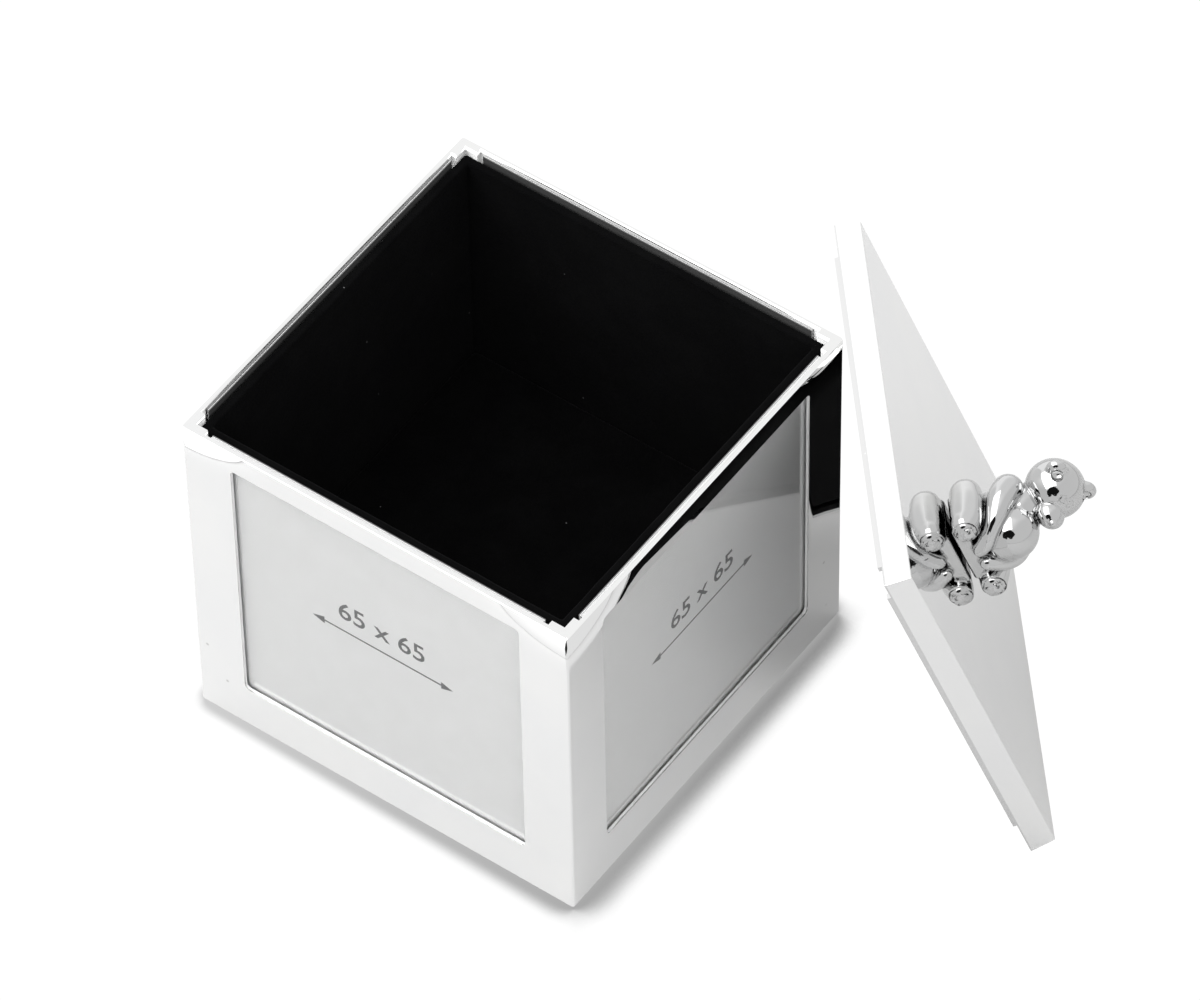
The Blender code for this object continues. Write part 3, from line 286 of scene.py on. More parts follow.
def silver_casting(graph):
    """Plate on the cast bear: duller, over slight hollows of hand polishing, with painted shade darkening
    its creases.
    """
    hollows = graph.bump(graph.noise(3.4, 1.5, 0.5), 0.045 * MM, 1.0)
    sockets = polished(graph, *CAST_SILVER, hollows)
    # Painted shade: the colour turns near black where ambient occlusion finds nearby surfaces, in the
    # creases and furrows.
    free_of_crease_shade = graph.shelter(8, 0.8 * MM).above(0.55, 0.9)
    sockets["Base Color"] = graph.blend(free_of_crease_shade, grey(0.12), sockets["Base Color"])
    return sockets


def black_velvet(graph):
    """Short dense pile: brushed patches, a soft sheen at grazing angles, and a little lint."""
    pile = graph.noise(0.16, 2.0, 0.7)
    tuft = graph.noise(0.9, 3.0, 0.6)
    brushed = graph.noise(11.0, 3.0, 0.6)
    lint = 1.0 - graph.cells(6.5).above(0.012, 0.03)
    deep = graph.blend(brushed.above(0.35, 0.7), (0.0008, 0.0008, 0.0009), (0.0017, 0.0017, 0.0018))
    nap = graph.blend(pile.above(0.45, 0.8) * 0.5, deep, (0.0032, 0.0032, 0.0034))
    colour = graph.blend(lint * 0.6, nap, grey(0.16))
    normal = graph.bump(pile, 0.06 * MM, 0.7, graph.bump(tuft, 0.10 * MM, 0.5))
    return {
        "Base Color": colour,
        "Roughness": 0.96,
        "Specular IOR Level": 0.04,
        "Sheen Weight": 0.03,
        "Sheen Roughness": 0.45,
        "Sheen Tint": (0.5, 0.5, 0.52),
        "Normal": normal,
    }


def black_felt(graph):
    """Pressed felt: tangled fibres in two directions over cloudy thick and thin places."""
    cloud = graph.noise(3.5, 4.0, 0.6)
    fibre = graph.noise(1.0, 2.0, 0.6, graph.spread((0.12, 1.6, 0.6), turn=(0.0, 0.0, 0.5)))
    cross = graph.noise(1.0, 2.0, 0.6, graph.spread((1.4, 0.12, 0.6), turn=(0.0, 0.0, -0.4)))
    tangle = fibre.or_more(cross)
    base = graph.blend(cloud.above(0.3, 0.7), (0.012, 0.012, 0.013), (0.026, 0.026, 0.027))
    colour = graph.blend(tangle.above(0.55, 0.8) * 0.6, base, (0.065, 0.065, 0.068))
    normal = graph.bump(tangle, 0.12 * MM, 0.7, graph.bump(cloud, 0.2 * MM, 0.4))
    return {
        "Base Color": colour,
        "Roughness": 0.95,
        "Specular IOR Level": 0.15,
        "Sheen Weight": 0.2,
        "Normal": normal,
    }


def grey_card(graph):
    """Smooth pale card with a faint paper tooth and mottled ink; its cut edges and back are painted dark, as
    painted shade for the shade they sit in within the slot.

    The back and edges are told from the face by how far they are from the box's middle.
    """
    mottle = graph.noise(5.0, 4.0, 0.6)
    tooth = graph.noise(0.25, 2.0, 0.6)
    x, y, _ = graph.axes()
    out = x.size().or_more(y.size())
    base = graph.blend(mottle.above(0.3, 0.75), (0.87, 0.87, 0.868), grey(0.9))
    colour = graph.blend(tooth.above(0.5, 0.9) * 0.25, base, grey(0.8))
    # Painted shade: the card's cut edges and back get dark greys, standing in for the shade inside the slot.
    back_and_edge_shade = graph.blend(out.above(40.27, 40.33), grey(0.04), grey(0.11))
    colour = graph.blend(out.above(40.47, 40.53), back_and_edge_shade, colour)
    rough = 0.55 + 0.15 * mottle
    return {"Base Color": colour, "Roughness": rough, "Normal": graph.bump(tooth, 0.01 * MM, 0.4)}


def print_ink(graph):
    """Flat grey printing ink, slightly broken by the card under it."""
    tooth = graph.noise(0.3, 3.0, 0.65)
    colour = graph.blend(tooth.above(0.4, 0.85) * 0.5, (0.018, 0.018, 0.019), grey(0.05))
    return {"Base Color": colour, "Roughness": 0.5 + 0.2 * tooth}


def clear_sheet(graph):
    """Thin clear plastic with a few handling marks and a barely wavy face.

    The sawn upper edges are matt, with painted shade: darker at the back and darkest at the left, where the
    box's walls shade them from the light.
    """
    marks = graph.noise(1.0, 2.0, 0.6, graph.spread((0.5, 14.0, 14.0), turn=(0.4, 0.2, 0.6)))
    smear = graph.noise(16.0, 3.0)
    rough = 0.03 * smear.above(0.5, 0.8) + 0.03 * marks.above(0.62, 0.85)
    normal = graph.bump(graph.noise(18.0, 1.0), 0.03 * MM, 0.4)
    x, y, z = graph.axes()
    sawn = z.above(77.38, 77.42)
    pale_with_painted_shade = graph.blend(smear, grey(0.45), grey(0.55))
    # Painted shade: the back and left panes' sawn edges are made darker, standing in for the shade cast by
    # the box's walls.
    pale_with_painted_shade = graph.blend(y.above(40.2, 40.4), pale_with_painted_shade, grey(0.34))
    pale_with_painted_shade = graph.blend(x.above(-40.4, -40.2), grey(0.13), pale_with_painted_shade)
    return {
        "Second": (sawn, {"Base Color": pale_with_painted_shade, "Roughness": 0.7}),
        "Base Color": (0.985, 0.988, 0.986),
        "Roughness": rough,
        "IOR": 1.49,
        "Transmission Weight": 1.0,
        "Normal": normal,
    }


def turned_brass(graph):
    """Machined brass: fine tool lines, a warm uneven tarnish and small dull spots."""
    lines = graph.noise(1.0, 2.0, 0.6, graph.spread((0.10, 0.10, 6.0), turn=(0.5, 0.2, 0.3)))
    tarnish = graph.noise(5.0, 4.0, 0.6)
    spots = 1.0 - graph.cells(2.4).above(0.05, 0.16)
    base = graph.blend(tarnish.above(0.35, 0.75), (0.80, 0.58, 0.26), (0.66, 0.45, 0.19))
    colour = graph.blend(spots * 0.4, base, (0.30, 0.21, 0.10))
    rough = 0.22 + 0.16 * tarnish + 0.10 * lines
    normal = graph.bump(lines, 0.004 * MM, 0.5)
    return {"Base Color": colour, "Metallic": 1.0, "Roughness": rough, "Normal": normal}


def plain_steel(graph):
    """Ground steel with directional marks over a cloudy, unevenly dark tone."""
    marks = graph.noise(1.0, 3.0, 0.6, graph.spread((0.08, 3.0, 3.0), turn=(0.2, 0.1, 0.4)))
    cloud = graph.noise(3.0, 3.0)
    colour = graph.blend(cloud.above(0.3, 0.7), (0.60, 0.60, 0.62), (0.50, 0.50, 0.52))
    rough = 0.24 + 0.14 * cloud + 0.10 * marks
    normal = graph.bump(marks, 0.003 * MM, 0.5)
    return {"Base Color": colour, "Metallic": 1.0, "Roughness": rough, "Normal": normal}


def blue_spring(graph):
    """Tempered spring steel, blued unevenly, with lengthwise rolling marks."""
    heat = graph.noise(6.0, 3.0)
    marks = graph.noise(1.0, 2.0, 0.6, graph.spread((3.0, 3.0, 0.08)))
    colour = graph.blend(heat.above(0.3, 0.7), (0.10, 0.13, 0.22), (0.20, 0.20, 0.24))
    rough = 0.26 + 0.15 * marks
    normal = graph.bump(marks, 0.002 * MM, 0.4)
    return {"Base Color": colour, "Metallic": 1.0, "Roughness": rough, "Normal": normal}


def moulded_black(graph):
    """Spark-textured black plastic with a soft uneven gloss."""
    grain = graph.noise(0.28, 2.0, 0.6)
    cloud = graph.noise(9.0, 3.0)
    colour = graph.blend(cloud.above(0.3, 0.7), (0.016, 0.016, 0.017), (0.026, 0.026, 0.027))
    rough = 0.42 + 0.14 * cloud + 0.10 * grain
    return {"Base Color": colour, "Roughness": rough, "Normal": graph.bump(grain, 0.03 * MM, 0.5)}


SILVER = material("silver_plate", silver_plate)
SILVER_BOX = material("silver_box", silver_box)
SILVER_CASTING = material("silver_casting", silver_casting)
VELVET = material("black_velvet", black_velvet)
FELT = material("base_felt", black_felt)
CARD = material("photo_card", grey_card)
INK = material("print_ink", print_ink)
CLEAR = material("clear_pane", clear_sheet)
BRASS = material("brass", turned_brass)
STEEL = material("steel", plain_steel)
SPRING = material("spring_steel", blue_spring)
BLACK = material("black_plastic", moulded_black)

FINISH_OF = {
    SILVER: ("lid_cover", "lid_frame"),
    SILVER_BOX: ("outer_shell",),
    SILVER_CASTING: ("bear_finial",),
    VELVET: ("liner_tray", "floor_pad", "lid_pad"),
    FELT: ("base_felt",),
    CARD: tuple("photo_card_" + side for side in ("front", "right", "back", "left")),
    CLEAR: tuple("clear_pane_" + side for side in ("front", "right", "back", "left")),
    BRASS: ("bedplate", "drive_gear", "pin_cylinder", "contrate_wheel", "great_wheel", "governor_wheel")
    + ("spring_housing", "bracket_left", "bracket_right", "comb_base", "governor_frame", "winding_key"),
    SPRING: ("mainspring",),
    BLACK: ("base_plate", "air_fan"),
}
finish_named = {name: made for made, names in FINISH_OF.items() for name in names}
for name, node in nodes.items():
    node.data.materials.clear()
    node.data.materials.append(finish_named.get(name, STEEL))


# Surfaces worked out on grids
def link(name, data):
    """A new object in the scene, at the origin."""
    thing = bpy.data.objects.new(name, data)
    bpy.context.scene.collection.objects.link(thing)
    return thing


@contextmanager
def editing(mesh):
    """A mesh opened for editing, and written back at the end."""
    work = bmesh.new()
    work.from_mesh(mesh)
    yield work
    work.to_mesh(mesh)
    work.free()


def grid_faces(rows, columns, round_rows=False, round_columns=False):
    """Quads of a grid of points, joined up at the end of a direction that closes on itself."""
    i = np.arange(rows if round_rows else rows - 1)
    j = np.arange(columns if round_columns else columns - 1)
    a, b = np.meshgrid(i, j, indexing="ij")
    below = (a + 1) % rows
    beside = (b + 1) % columns
    corners = (a * columns + b, a * columns + beside, below * columns + beside, below * columns + b)
    return np.stack([c.ravel() for c in corners], axis=1)


def fill_mesh(mesh, points, faces):
    """Puts points and equal-sided faces into a mesh."""
    sides = faces.shape[1]
    mesh.vertices.add(len(points))
    mesh.vertices.foreach_set("co", np.ascontiguousarray(points, dtype=np.float32).ravel())
    mesh.loops.add(faces.size)
    mesh.loops.foreach_set("vertex_index", faces.astype(np.int32).ravel())
    mesh.polygons.add(len(faces))
    mesh.polygons.foreach_set("loop_start", np.arange(0, faces.size, sides, dtype=np.int32))
    mesh.update(calc_edges=True)


def piece(name, points, faces, made, merge=1e-7):
    """A closed smooth piece at the origin from points in metres: doubles merged, faces turned outward."""
    mesh = bpy.data.meshes.new(name)
    fill_mesh(mesh, points, faces)
    with editing(mesh) as work:
        bmesh.ops.remove_doubles(work, verts=work.verts, dist=merge)
        bmesh.ops.dissolve_degenerate(work, edges=work.edges, dist=merge)
        bmesh.ops.recalc_face_normals(work, faces=work.faces)
    mesh.polygons.foreach_set("use_smooth", np.ones(len(mesh.polygons), dtype=bool))
    mesh.materials.append(made)
    return link(name, mesh)


def soft_noise(points, size, seed=0.0):
    """A smooth field from -1 to 1, the mean of sines along three slanted directions."""
    p = points / size
    first = np.sin(p[:, 0] * 1.7 + p[:, 1] * 1.1 + p[:, 2] * 0.6 + seed)
    second = np.sin(p[:, 0] * -0.9 + p[:, 1] * 1.9 + p[:, 2] * 1.3 + 2.1 * seed)
    third = np.sin(p[:, 0] * 0.7 + p[:, 1] * -1.2 + p[:, 2] * 2.2 + 3.7 * seed)
    return (first + second + third) / 3.0


SHEET_CORNER = 0.012
FINE_SWEEP = 320


def rounded_square(count, corner, bends=8):
    """Points round a square of half side 1, each corner an arc whose radius is a share of the half side."""
    flat = 1.0 - corner
    along = np.linspace(-flat, flat, count // 4 - bends)
    arc = np.linspace(0.0, math.pi / 2, bends + 2)[1:-1]
    side = np.stack([np.ones_like(along), along], axis=1)
    bend = np.stack([flat + corner * np.cos(arc), flat + corner * np.sin(arc)], axis=1)
    quarter = np.concatenate([side, bend])
    quarters = []
    for index in range(4):
        c, s = math.cos(index * math.pi / 2), math.sin(index * math.pi / 2)
        quarters.append(quarter @ np.array([[c, s], [-s, c]]))
    return np.concatenate(quarters)


def swept_square(profile, corner, count=160):
    """A profile of half sides and heights carried round a rounded square, scaled by each half side."""
    ring = rounded_square(count, corner)
    half = np.array([p[0] for p in profile])
    height = np.array([p[1] for p in profile])
    x = half[:, None] * ring[None, :, 0]
    y = half[:, None] * ring[None, :, 1]
    z = np.repeat(height[:, None], len(ring), axis=1)
    points = np.stack([x, y, z], axis=-1).reshape(-1, 3)
    return points, grid_faces(len(profile), len(ring), round_columns=True)


def steps(start, end, count):
    """Evenly spaced profile points from start, included, to end, left out."""
    share = np.linspace(0.0, 1.0, count, endpoint=False)
    return [(start[0] + (end[0] - start[0]) * t, start[1] + (end[1] - start[1]) * t) for t in share]


def arc_points(centre, radius, start, end, count):
    """Profile points on an arc, in degrees, both ends included."""
    angle = np.radians(np.linspace(start, end, count))
    return [(centre[0] + radius * math.cos(a), centre[1] + radius * math.sin(a)) for a in angle]


# Where the lid stands: on its lower edge, leaning so that it just clears the box's corner. In millimetres
LID_SIDE = 84.0
LEAN = math.radians(19.245)
HEADING = math.radians(40.7)
LEAN_PLAY = 1.3
LEAN_OFFSET = 16.4
lean_turn = Matrix.Rotation(HEADING, 3, "Z") @ Matrix.Rotation(math.radians(90.0) - LEAN, 3, "Y")
contact = Vector((BOX_HALF, BOX_HALF, min(BOX_TOP, LID_SIDE * math.cos(LEAN) - 1.5)))
lid_along = LID_SIDE / 2 - (contact.z + LEAN_PLAY * math.sin(LEAN)) / math.cos(LEAN)
lid_place = np.array(contact - lean_turn @ Vector((lid_along, LEAN_OFFSET, -LEAN_PLAY)))
lid_turn = np.array(lean_turn)


def on_lid(points):
    """Points in the lid's own millimetres, z out of its top, to the frame's metres."""
    return (points @ lid_turn.T + lid_place) * MM


# Velvet and felt
def make_liner():
    """The velvet-wrapped tray: its wall's section carried round the box, with rounded rims.

    The inside gets the pile's unevenness, along the outward direction of its wall.
    """
    low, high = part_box("liner_tray")
    outer, bottom, top = high.x / MM, low.z / MM, high.z / MM
    inner = 38.0
    floor = bottom + 1.2
    r = 0.55
    profile = steps((0.0, bottom), (outer - 0.3, bottom), 14)
    profile += arc_points((outer - 0.3, bottom + 0.3), 0.3, -90, 0, 4)
    profile += steps((outer, bottom + 2.0), (outer, top - r), 26)
    profile += arc_points((outer - r, top - r), r, 0, 90, 7)
    profile += arc_points((inner + r, top - r), r, 90, 180, 7)
    profile += steps((inner, top - r - 1.5), (inner, floor + 0.8), 26)
    profile += arc_points((inner - 0.6, floor + 0.6), 0.6, 0, -90, 5)
    profile += steps((inner - 2.0, floor), (0.0, floor), 18)
    profile += [(0.0, floor)]
    points, faces = swept_square(profile, SHEET_CORNER, FINE_SWEEP)
    inside = (points[:, 2] > floor + 0.5) & (np.abs(points[:, :2]).max(1) < outer - 0.6)
    pile = 0.045 * soft_noise(points, 2.3) + 0.03 * soft_noise(points, 0.8, 1.0)
    away = np.where(np.abs(points[:, :1]) > np.abs(points[:, 1:2]), [[1.0, 0.0]], [[0.0, 1.0]])
    outward = away * np.sign(points[:, :2])
    points[:, :2] += outward * (pile * inside)[:, None]
    tray = piece("velvet_liner", points * MM, faces, VELVET)
    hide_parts("liner_tray")
    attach(tray, "base_unit")


def pad_surface(low, high, crown, edge, count=240):
    """A thin pad: a rounded rim section carried round a square.

    Its top is crowned by cos x cos y, from the middle to the rim, and is slightly uneven.
    """
    half, bottom, top = high[0], low[2], high[2]
    middle = (bottom + top) / 2
    r = (top - bottom) / 2
    profile = steps((0.0, bottom), (half - edge, bottom), 22)
    profile += [
        (half - edge + edge * math.cos(a), middle + r * math.sin(a))
        for a in np.radians(np.linspace(-90, 90, 13))
    ]
    profile += steps((half - edge * 1.6, top), (0.0, top), 30)
    profile += [(0.0, top)]
    points, faces = swept_square(profile, 0.03, count)
    share = np.clip(np.abs(points[:, :2]) / half, 0.0, 1.0)
    dome = np.cos(share[:, 0] * math.pi / 2) * np.cos(share[:, 1] * math.pi / 2)
    upper = points[:, 2] > middle
    points[:, 2] += np.where(upper, crown * (dome - 1.0), 0.0)
    points[:, 2] += np.where(upper, -0.05 * (1.0 + soft_noise(points, 4.0, 0.4)) / 2, 0.0)
    return points, faces


def make_floor_pad():
    """The thin velvet pad on the compartment's floor."""
    low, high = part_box("floor_pad")
    points, faces = pad_surface(np.array(low) / MM, np.array(high) / MM, 0.18, 0.7)
    pad = piece("velvet_floor_pad", points * MM, faces, VELVET)
    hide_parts("floor_pad")
    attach(pad, "base_unit")


def make_lid_pad():
    """The velvet board inside the lid, its face towards the open side."""
    half, bottom, top = 38.6, -3.4, -0.2
    points, faces = pad_surface((0.0, 0.0, bottom), (half, half, top), 0.15, 0.8)
    flipped = points * np.array([1.0, -1.0, -1.0])
    pad = piece("velvet_lid_pad", on_lid(flipped), faces, VELVET)
    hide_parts("lid_pad")
    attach(pad, "lid")


for maker in (make_liner, make_floor_pad, make_lid_pad):
    maker()


# Plated sheets with their rounded edges shaded smooth
def smooth_copy(node, name, made, body):
    """A merged copy of a CAD node: edges over 40 degrees stay sharp, and flat faces lead the shading."""
    mesh = nodes[node].data.copy()
    with editing(mesh) as work:
        bmesh.ops.remove_doubles(work, verts=work.verts, dist=1e-6)
        bmesh.ops.dissolve_limit(
            work,
            angle_limit=math.radians(0.5),
            verts=work.verts,
            edges=work.edges,
            use_dissolve_boundaries=False,
        )
        for edge in work.edges:
            edge.smooth = edge.is_manifold and edge.calc_face_angle(0.0) < math.radians(40.0)
        for face in work.faces:
            face.smooth = True
    mesh.name = name
    mesh.materials.clear()
    mesh.materials.append(made)
    copy = link(name, mesh)
    weighting = copy.modifiers.new("flat_faces_lead", "WEIGHTED_NORMAL")
    weighting.keep_sharp = True
    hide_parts(node)
    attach(copy, body)


smooth_copy("outer_shell", "silver_shell", SILVER_BOX, "base_unit")
smooth_copy("lid_cover", "silver_lid", SILVER, "lid")


# The bear, in millimetres in its own frame: x to its left, y to its back, z up from the lid
def turned(axis, degrees):
    """A turn about an axis as an array."""
    return np.array(Matrix.Rotation(math.radians(degrees), 3, axis))


BEAR_RISE = 5.2
HEAD_PLACE = np.array([0.0, 3.2, 18.5])
HEAD_TURN = turned("Z", -2.4) @ turned("X", 6.5) @ turned("Y", -23.1)
LEG = [[6.6, 2.2, 3.5, 2.9], [7.2, -0.6, 3.6, 3.1], [7.9, -3.8, 3.4, 2.95], [8.3, -6.0, 3.05, 2.45]]
UPPER_ARM = [[4.8, 2.1, 11.0, 2.8], [6.0, -0.4, 9.7, 2.5], [6.1, -3.7, 8.3, 1.95]]
FOREARM = [[4.7, -6.0, 6.4, 1.5], [2.9, -6.8, 4.9, 1.45], [1.9, -7.1, 3.5, 1.2]]
SEAT_PLACE = np.array([0.0, -1.9, 1.5])
SEAT_HALF = np.array([6.4, 4.0, 0.9])
SEAT_ROUND = 0.6
SOLE = -7.9
HEART = (8.45, 2.8)
HEART_SIZE = 1.5
EAR = np.array([3.95, -1.6, 3.9])
EAR_HOLLOW = np.array([1.2, 1.1, 1.1])
EYE = np.array([1.0, 2.6])
EYE_RING = 0.65
SCREW_HOLE = (1.2, 4.8)


def chain(knots, count):
    """Balls (x, y, z, radius) at even steps along a smooth cubic curve through the knots."""
    knots = np.array(knots)
    last = len(knots) - 1
    balls = []
    for t in np.linspace(0.0, last, count):
        k = min(int(t), last - 1)
        s = t - k
        start = (knots[k + 1] - knots[max(k - 1, 0)]) / 2
        end = (knots[min(k + 2, last)] - knots[k]) / 2
        balls.append(
            (2 * s**3 - 3 * s**2 + 1) * knots[k]
            + (s**3 - 2 * s**2 + s) * start
            + (3 * s**2 - 2 * s**3) * knots[k + 1]
            + (s**3 - s**2) * end
        )
    return balls


# Rounded forms as (centre, half sizes), those of one side given once at +x. The body has the belly, hips,
# chest and foot, then the limbs' balls, and the head has the skull, muzzle, nose and ear
BODY = [
    ((0.0, -3.6, 9.1), (5.3, 5.1, 5.3)),
    ((0.0, -0.8, 6.4), (6.0, 6.0, 6.3)),
    ((0.0, 1.0, 11.5), (4.9, 4.6, 4.6)),
    ((8.45, -6.6, 2.85), (2.85, 3.2, 2.4)),
]
for ball in chain(LEG, 13) + chain(UPPER_ARM + FOREARM, 25):
    BODY.append((tuple(ball[:3]), (ball[3],) * 3))
HEAD = [
    ((0.0, 0.0, 0.0), (5.7, 5.45, 5.4)),
    ((0.0, -5.6, -1.1), (2.8, 2.6, 2.3)),
    ((0.0, -8.1, -0.4), (0.8, 0.6, 0.6)),
    ((3.9, 0.0, 3.8), (2.1, 1.3, 1.9)),
]
CREASE = 0.14
CUT_ROUND = 0.12


def furrow(distance, depth, width):
    """A groove's depth by how far a point is from its line."""
    return depth * np.exp(-((distance / width) ** 2))


def mirrored(points):
    """The same points with x made positive."""
    return np.stack([np.abs(points[:, 0]), points[:, 1], points[:, 2]], axis=1)


def far_from(points, forms):
    """A column for each ellipsoid with the signed distance to it, close to exact near its surface."""
    centres = np.array([f[0] for f in forms])
    radii = np.array([f[1] for f in forms])
    local = (points[:, None, :] - centres[None]) / radii
    reach = np.linalg.norm(local, axis=2)
    steep = np.linalg.norm(local / radii, axis=2)
    return reach * (reach - 1.0) / np.maximum(steep, 1e-6)


def heart_line(x, z, size):
    """How far a point is from a heart's outline, roughly, from the curve (x2 + z2 - 1)3 = x2 z3."""
    u = x / size
    v = z / size
    curve = (u**2 + v**2 - 1.0) ** 3 - u**2 * v**3
    slope_u = 6.0 * u * (u**2 + v**2 - 1.0) ** 2 - 2.0 * u * v**3
    slope_v = 6.0 * v * (u**2 + v**2 - 1.0) ** 2 - 3.0 * u**2 * v**2
    return size * np.abs(curve) / (np.sqrt(slope_u**2 + slope_v**2) + 0.12)


def bear_field(points):
    """Signed distance to the bear.

    The distances of the ellipsoids and of a rounded slab under the seat are joined by
    -k log sum exp(-d / k). The feet are cut flat at the soles. Hearts, eyes and mouth are shallow furrows,
    the ears have round hollows, and the seat is flat with a screw's hole in it.
    """
    folded = mirrored((points - HEAD_PLACE) @ HEAD_TURN)
    out = np.abs(points - SEAT_PLACE) - SEAT_HALF
    slab = np.linalg.norm(np.maximum(out, 0.0), axis=1) + np.minimum(out.max(axis=1), 0.0)
    slab = slab - SEAT_ROUND
    parts = [far_from(mirrored(points), BODY), far_from(folded, HEAD), slab[:, None]]
    distance = np.concatenate(parts, axis=1)
    nearest = distance.min(axis=1)
    total = np.exp(-(distance - nearest[:, None]) / CREASE).sum(axis=1)
    field = nearest - CREASE * np.log(total)
    foot = (points[:, 2] < 7.0) & (np.abs(points[:, 0]) > 4.5)
    cut = np.where(foot, SOLE - points[:, 1], -9.0)
    field = np.logaddexp(field / CUT_ROUND, cut / CUT_ROUND) * CUT_ROUND
    sole = foot & (points[:, 1] < SOLE + 0.3)
    mark = heart_line(np.abs(points[:, 0]) - HEART[0], points[:, 2] - HEART[1], HEART_SIZE)
    field = field + np.where(sole, furrow(mark, 0.28, 0.3), 0.0)
    cup = np.linalg.norm((folded - EAR) / EAR_HOLLOW, axis=1)
    field = np.maximum(field, 1.0 - cup)
    eye = np.linalg.norm(folded[:, [0, 2]] - EYE, axis=1)
    field = field + np.where(folded[:, 1] < -3.0, furrow(eye - EYE_RING, 0.2, 0.16), 0.0)
    mouth = np.abs(folded[:, 2] + 1.45 - 0.35 * folded[:, 0])
    lip = (folded[:, 1] < -7.0) & (folded[:, 0] < 1.2)
    field = field + np.where(lip, furrow(mouth, 0.10, 0.14), 0.0)
    hole_radius, hole_depth = SCREW_HOLE
    bore = np.minimum(hole_radius - np.linalg.norm(points[:, :2], axis=1), hole_depth - points[:, 2])
    return np.maximum(np.maximum(field, bore), -points[:, 2])


def field_slope(points, step=0.01):
    """The field's gradient by central differences."""
    axes = np.eye(3) * step
    return np.stack([(bear_field(points + a) - bear_field(points - a)) / (2 * step) for a in axes], axis=1)


def unit_ball(rows, columns):
    """The unit sphere as a function of two angles."""
    a = np.linspace(0.0, math.pi, rows)[:, None]
    b = np.linspace(0.0, 2 * math.pi, columns, endpoint=False)[None, :]
    unit = np.stack([np.sin(a) * np.cos(b), np.sin(a) * np.sin(b), np.cos(a) + 0.0 * b], axis=-1)
    return unit.reshape(-1, 3)


def slid_onto_field(points):
    """Points moved along the field's slope until the field is zero there, in four short steps."""
    longest_step = 0.2
    for _ in range(4):
        slope = field_slope(points)
        length = np.maximum((slope**2).sum(axis=1), 0.2)
        move = -(bear_field(points) / length)[:, None] * slope
        size = np.linalg.norm(move, axis=1, keepdims=True)
        points = points + move * np.minimum(1.0, longest_step / np.maximum(size, 1e-9))
    return points


def make_bear(grain):
    """The forms' balls joined by a voxel skin of the given grain, whose points then slide onto the field."""
    rows, columns = 24, 36
    unit = unit_ball(rows, columns)
    cube = unit / np.abs(unit).max(axis=1, keepdims=True)
    balls = [SEAT_PLACE + cube * SEAT_HALF + unit * SEAT_ROUND]
    spare = 0.05
    for side in (1.0, -1.0):
        for centre, radii in BODY:
            balls.append((unit * (np.array(radii) + spare) + np.array(centre)) * (side, 1.0, 1.0))
        for centre, radii in HEAD:
            ball = (unit * (np.array(radii) + spare) + np.array(centre)) * (side, 1.0, 1.0)
            balls.append(ball @ HEAD_TURN.T + HEAD_PLACE)
    faces = [grid_faces(rows, columns, round_columns=True) + k * rows * columns for k in range(len(balls))]
    rough = bpy.data.meshes.new("bear_rough")
    fill_mesh(rough, np.concatenate(balls), np.concatenate(faces))
    with editing(rough) as work:
        bmesh.ops.remove_doubles(work, verts=work.verts, dist=1e-5)
        bmesh.ops.recalc_face_normals(work, faces=work.faces)
    holder = link("bear_rough", rough)
    skin = holder.modifiers.new("skin", "REMESH")
    skin.mode = "VOXEL"
    skin.voxel_size = grain
    bpy.context.view_layer.update()
    evaluated = holder.evaluated_get(bpy.context.evaluated_depsgraph_get())
    skinned = evaluated.to_mesh()
    points = np.zeros(len(skinned.vertices) * 3, np.float32)
    skinned.vertices.foreach_get("co", points)
    points = points.reshape(-1, 3).astype(float)
    quads = np.zeros(len(skinned.polygons) * 4, np.int32)
    skinned.loops.foreach_get("vertex_index", quads)
    quads = quads.reshape(-1, 4)
    evaluated.to_mesh_clear()
    bpy.data.objects.remove(holder)
    bpy.data.meshes.remove(rough)
    batch = 8000
    for start in range(0, len(points), batch):
        points[start : start + batch] = slid_onto_field(points[start : start + batch])
    placed = points + np.array([0.0, 0.0, BEAR_RISE])
    bear = piece("silver_bear", on_lid(placed), quads, SILVER_CASTING, merge=1e-9)
    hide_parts("bear_finial")
    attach(bear, "lid")


FINE_GRAIN = 0.158
make_bear(FINE_GRAIN)


# Printed size marks on the cards
def flat_text(words, size):
    """The outlines of a line of plain type, made a mesh and centred."""
    curve = bpy.data.curves.new("type", "FONT")
    curve.body = words
    curve.size = size
    curve.align_x = "CENTER"
    curve.align_y = "CENTER"
    curve.extrude = 0.01
    curve.offset = 0.05
    curve.resolution_u = 4
    holder = link("type", curve)
    bpy.context.view_layer.update()
    evaluated = holder.evaluated_get(bpy.context.evaluated_depsgraph_get())
    made = bpy.data.meshes.new_from_object(evaluated)
    bpy.data.objects.remove(holder)
    bpy.data.curves.remove(curve)
    return made


def arrow_outline(length, thick, head_length, head_half):
    """A double-headed arrow lying along x, as a closed outline of points."""
    h = length / 2
    t = thick / 2
    right = [(h, 0.0), (h - head_length, head_half), (h - head_length, t)]
    left = [(-h + head_length, t), (-h + head_length, head_half), (-h, 0.0)]
    upper = right + left
    lower = [(x, -y) for x, y in reversed(upper[1:-1])]
    return np.array(upper + lower)


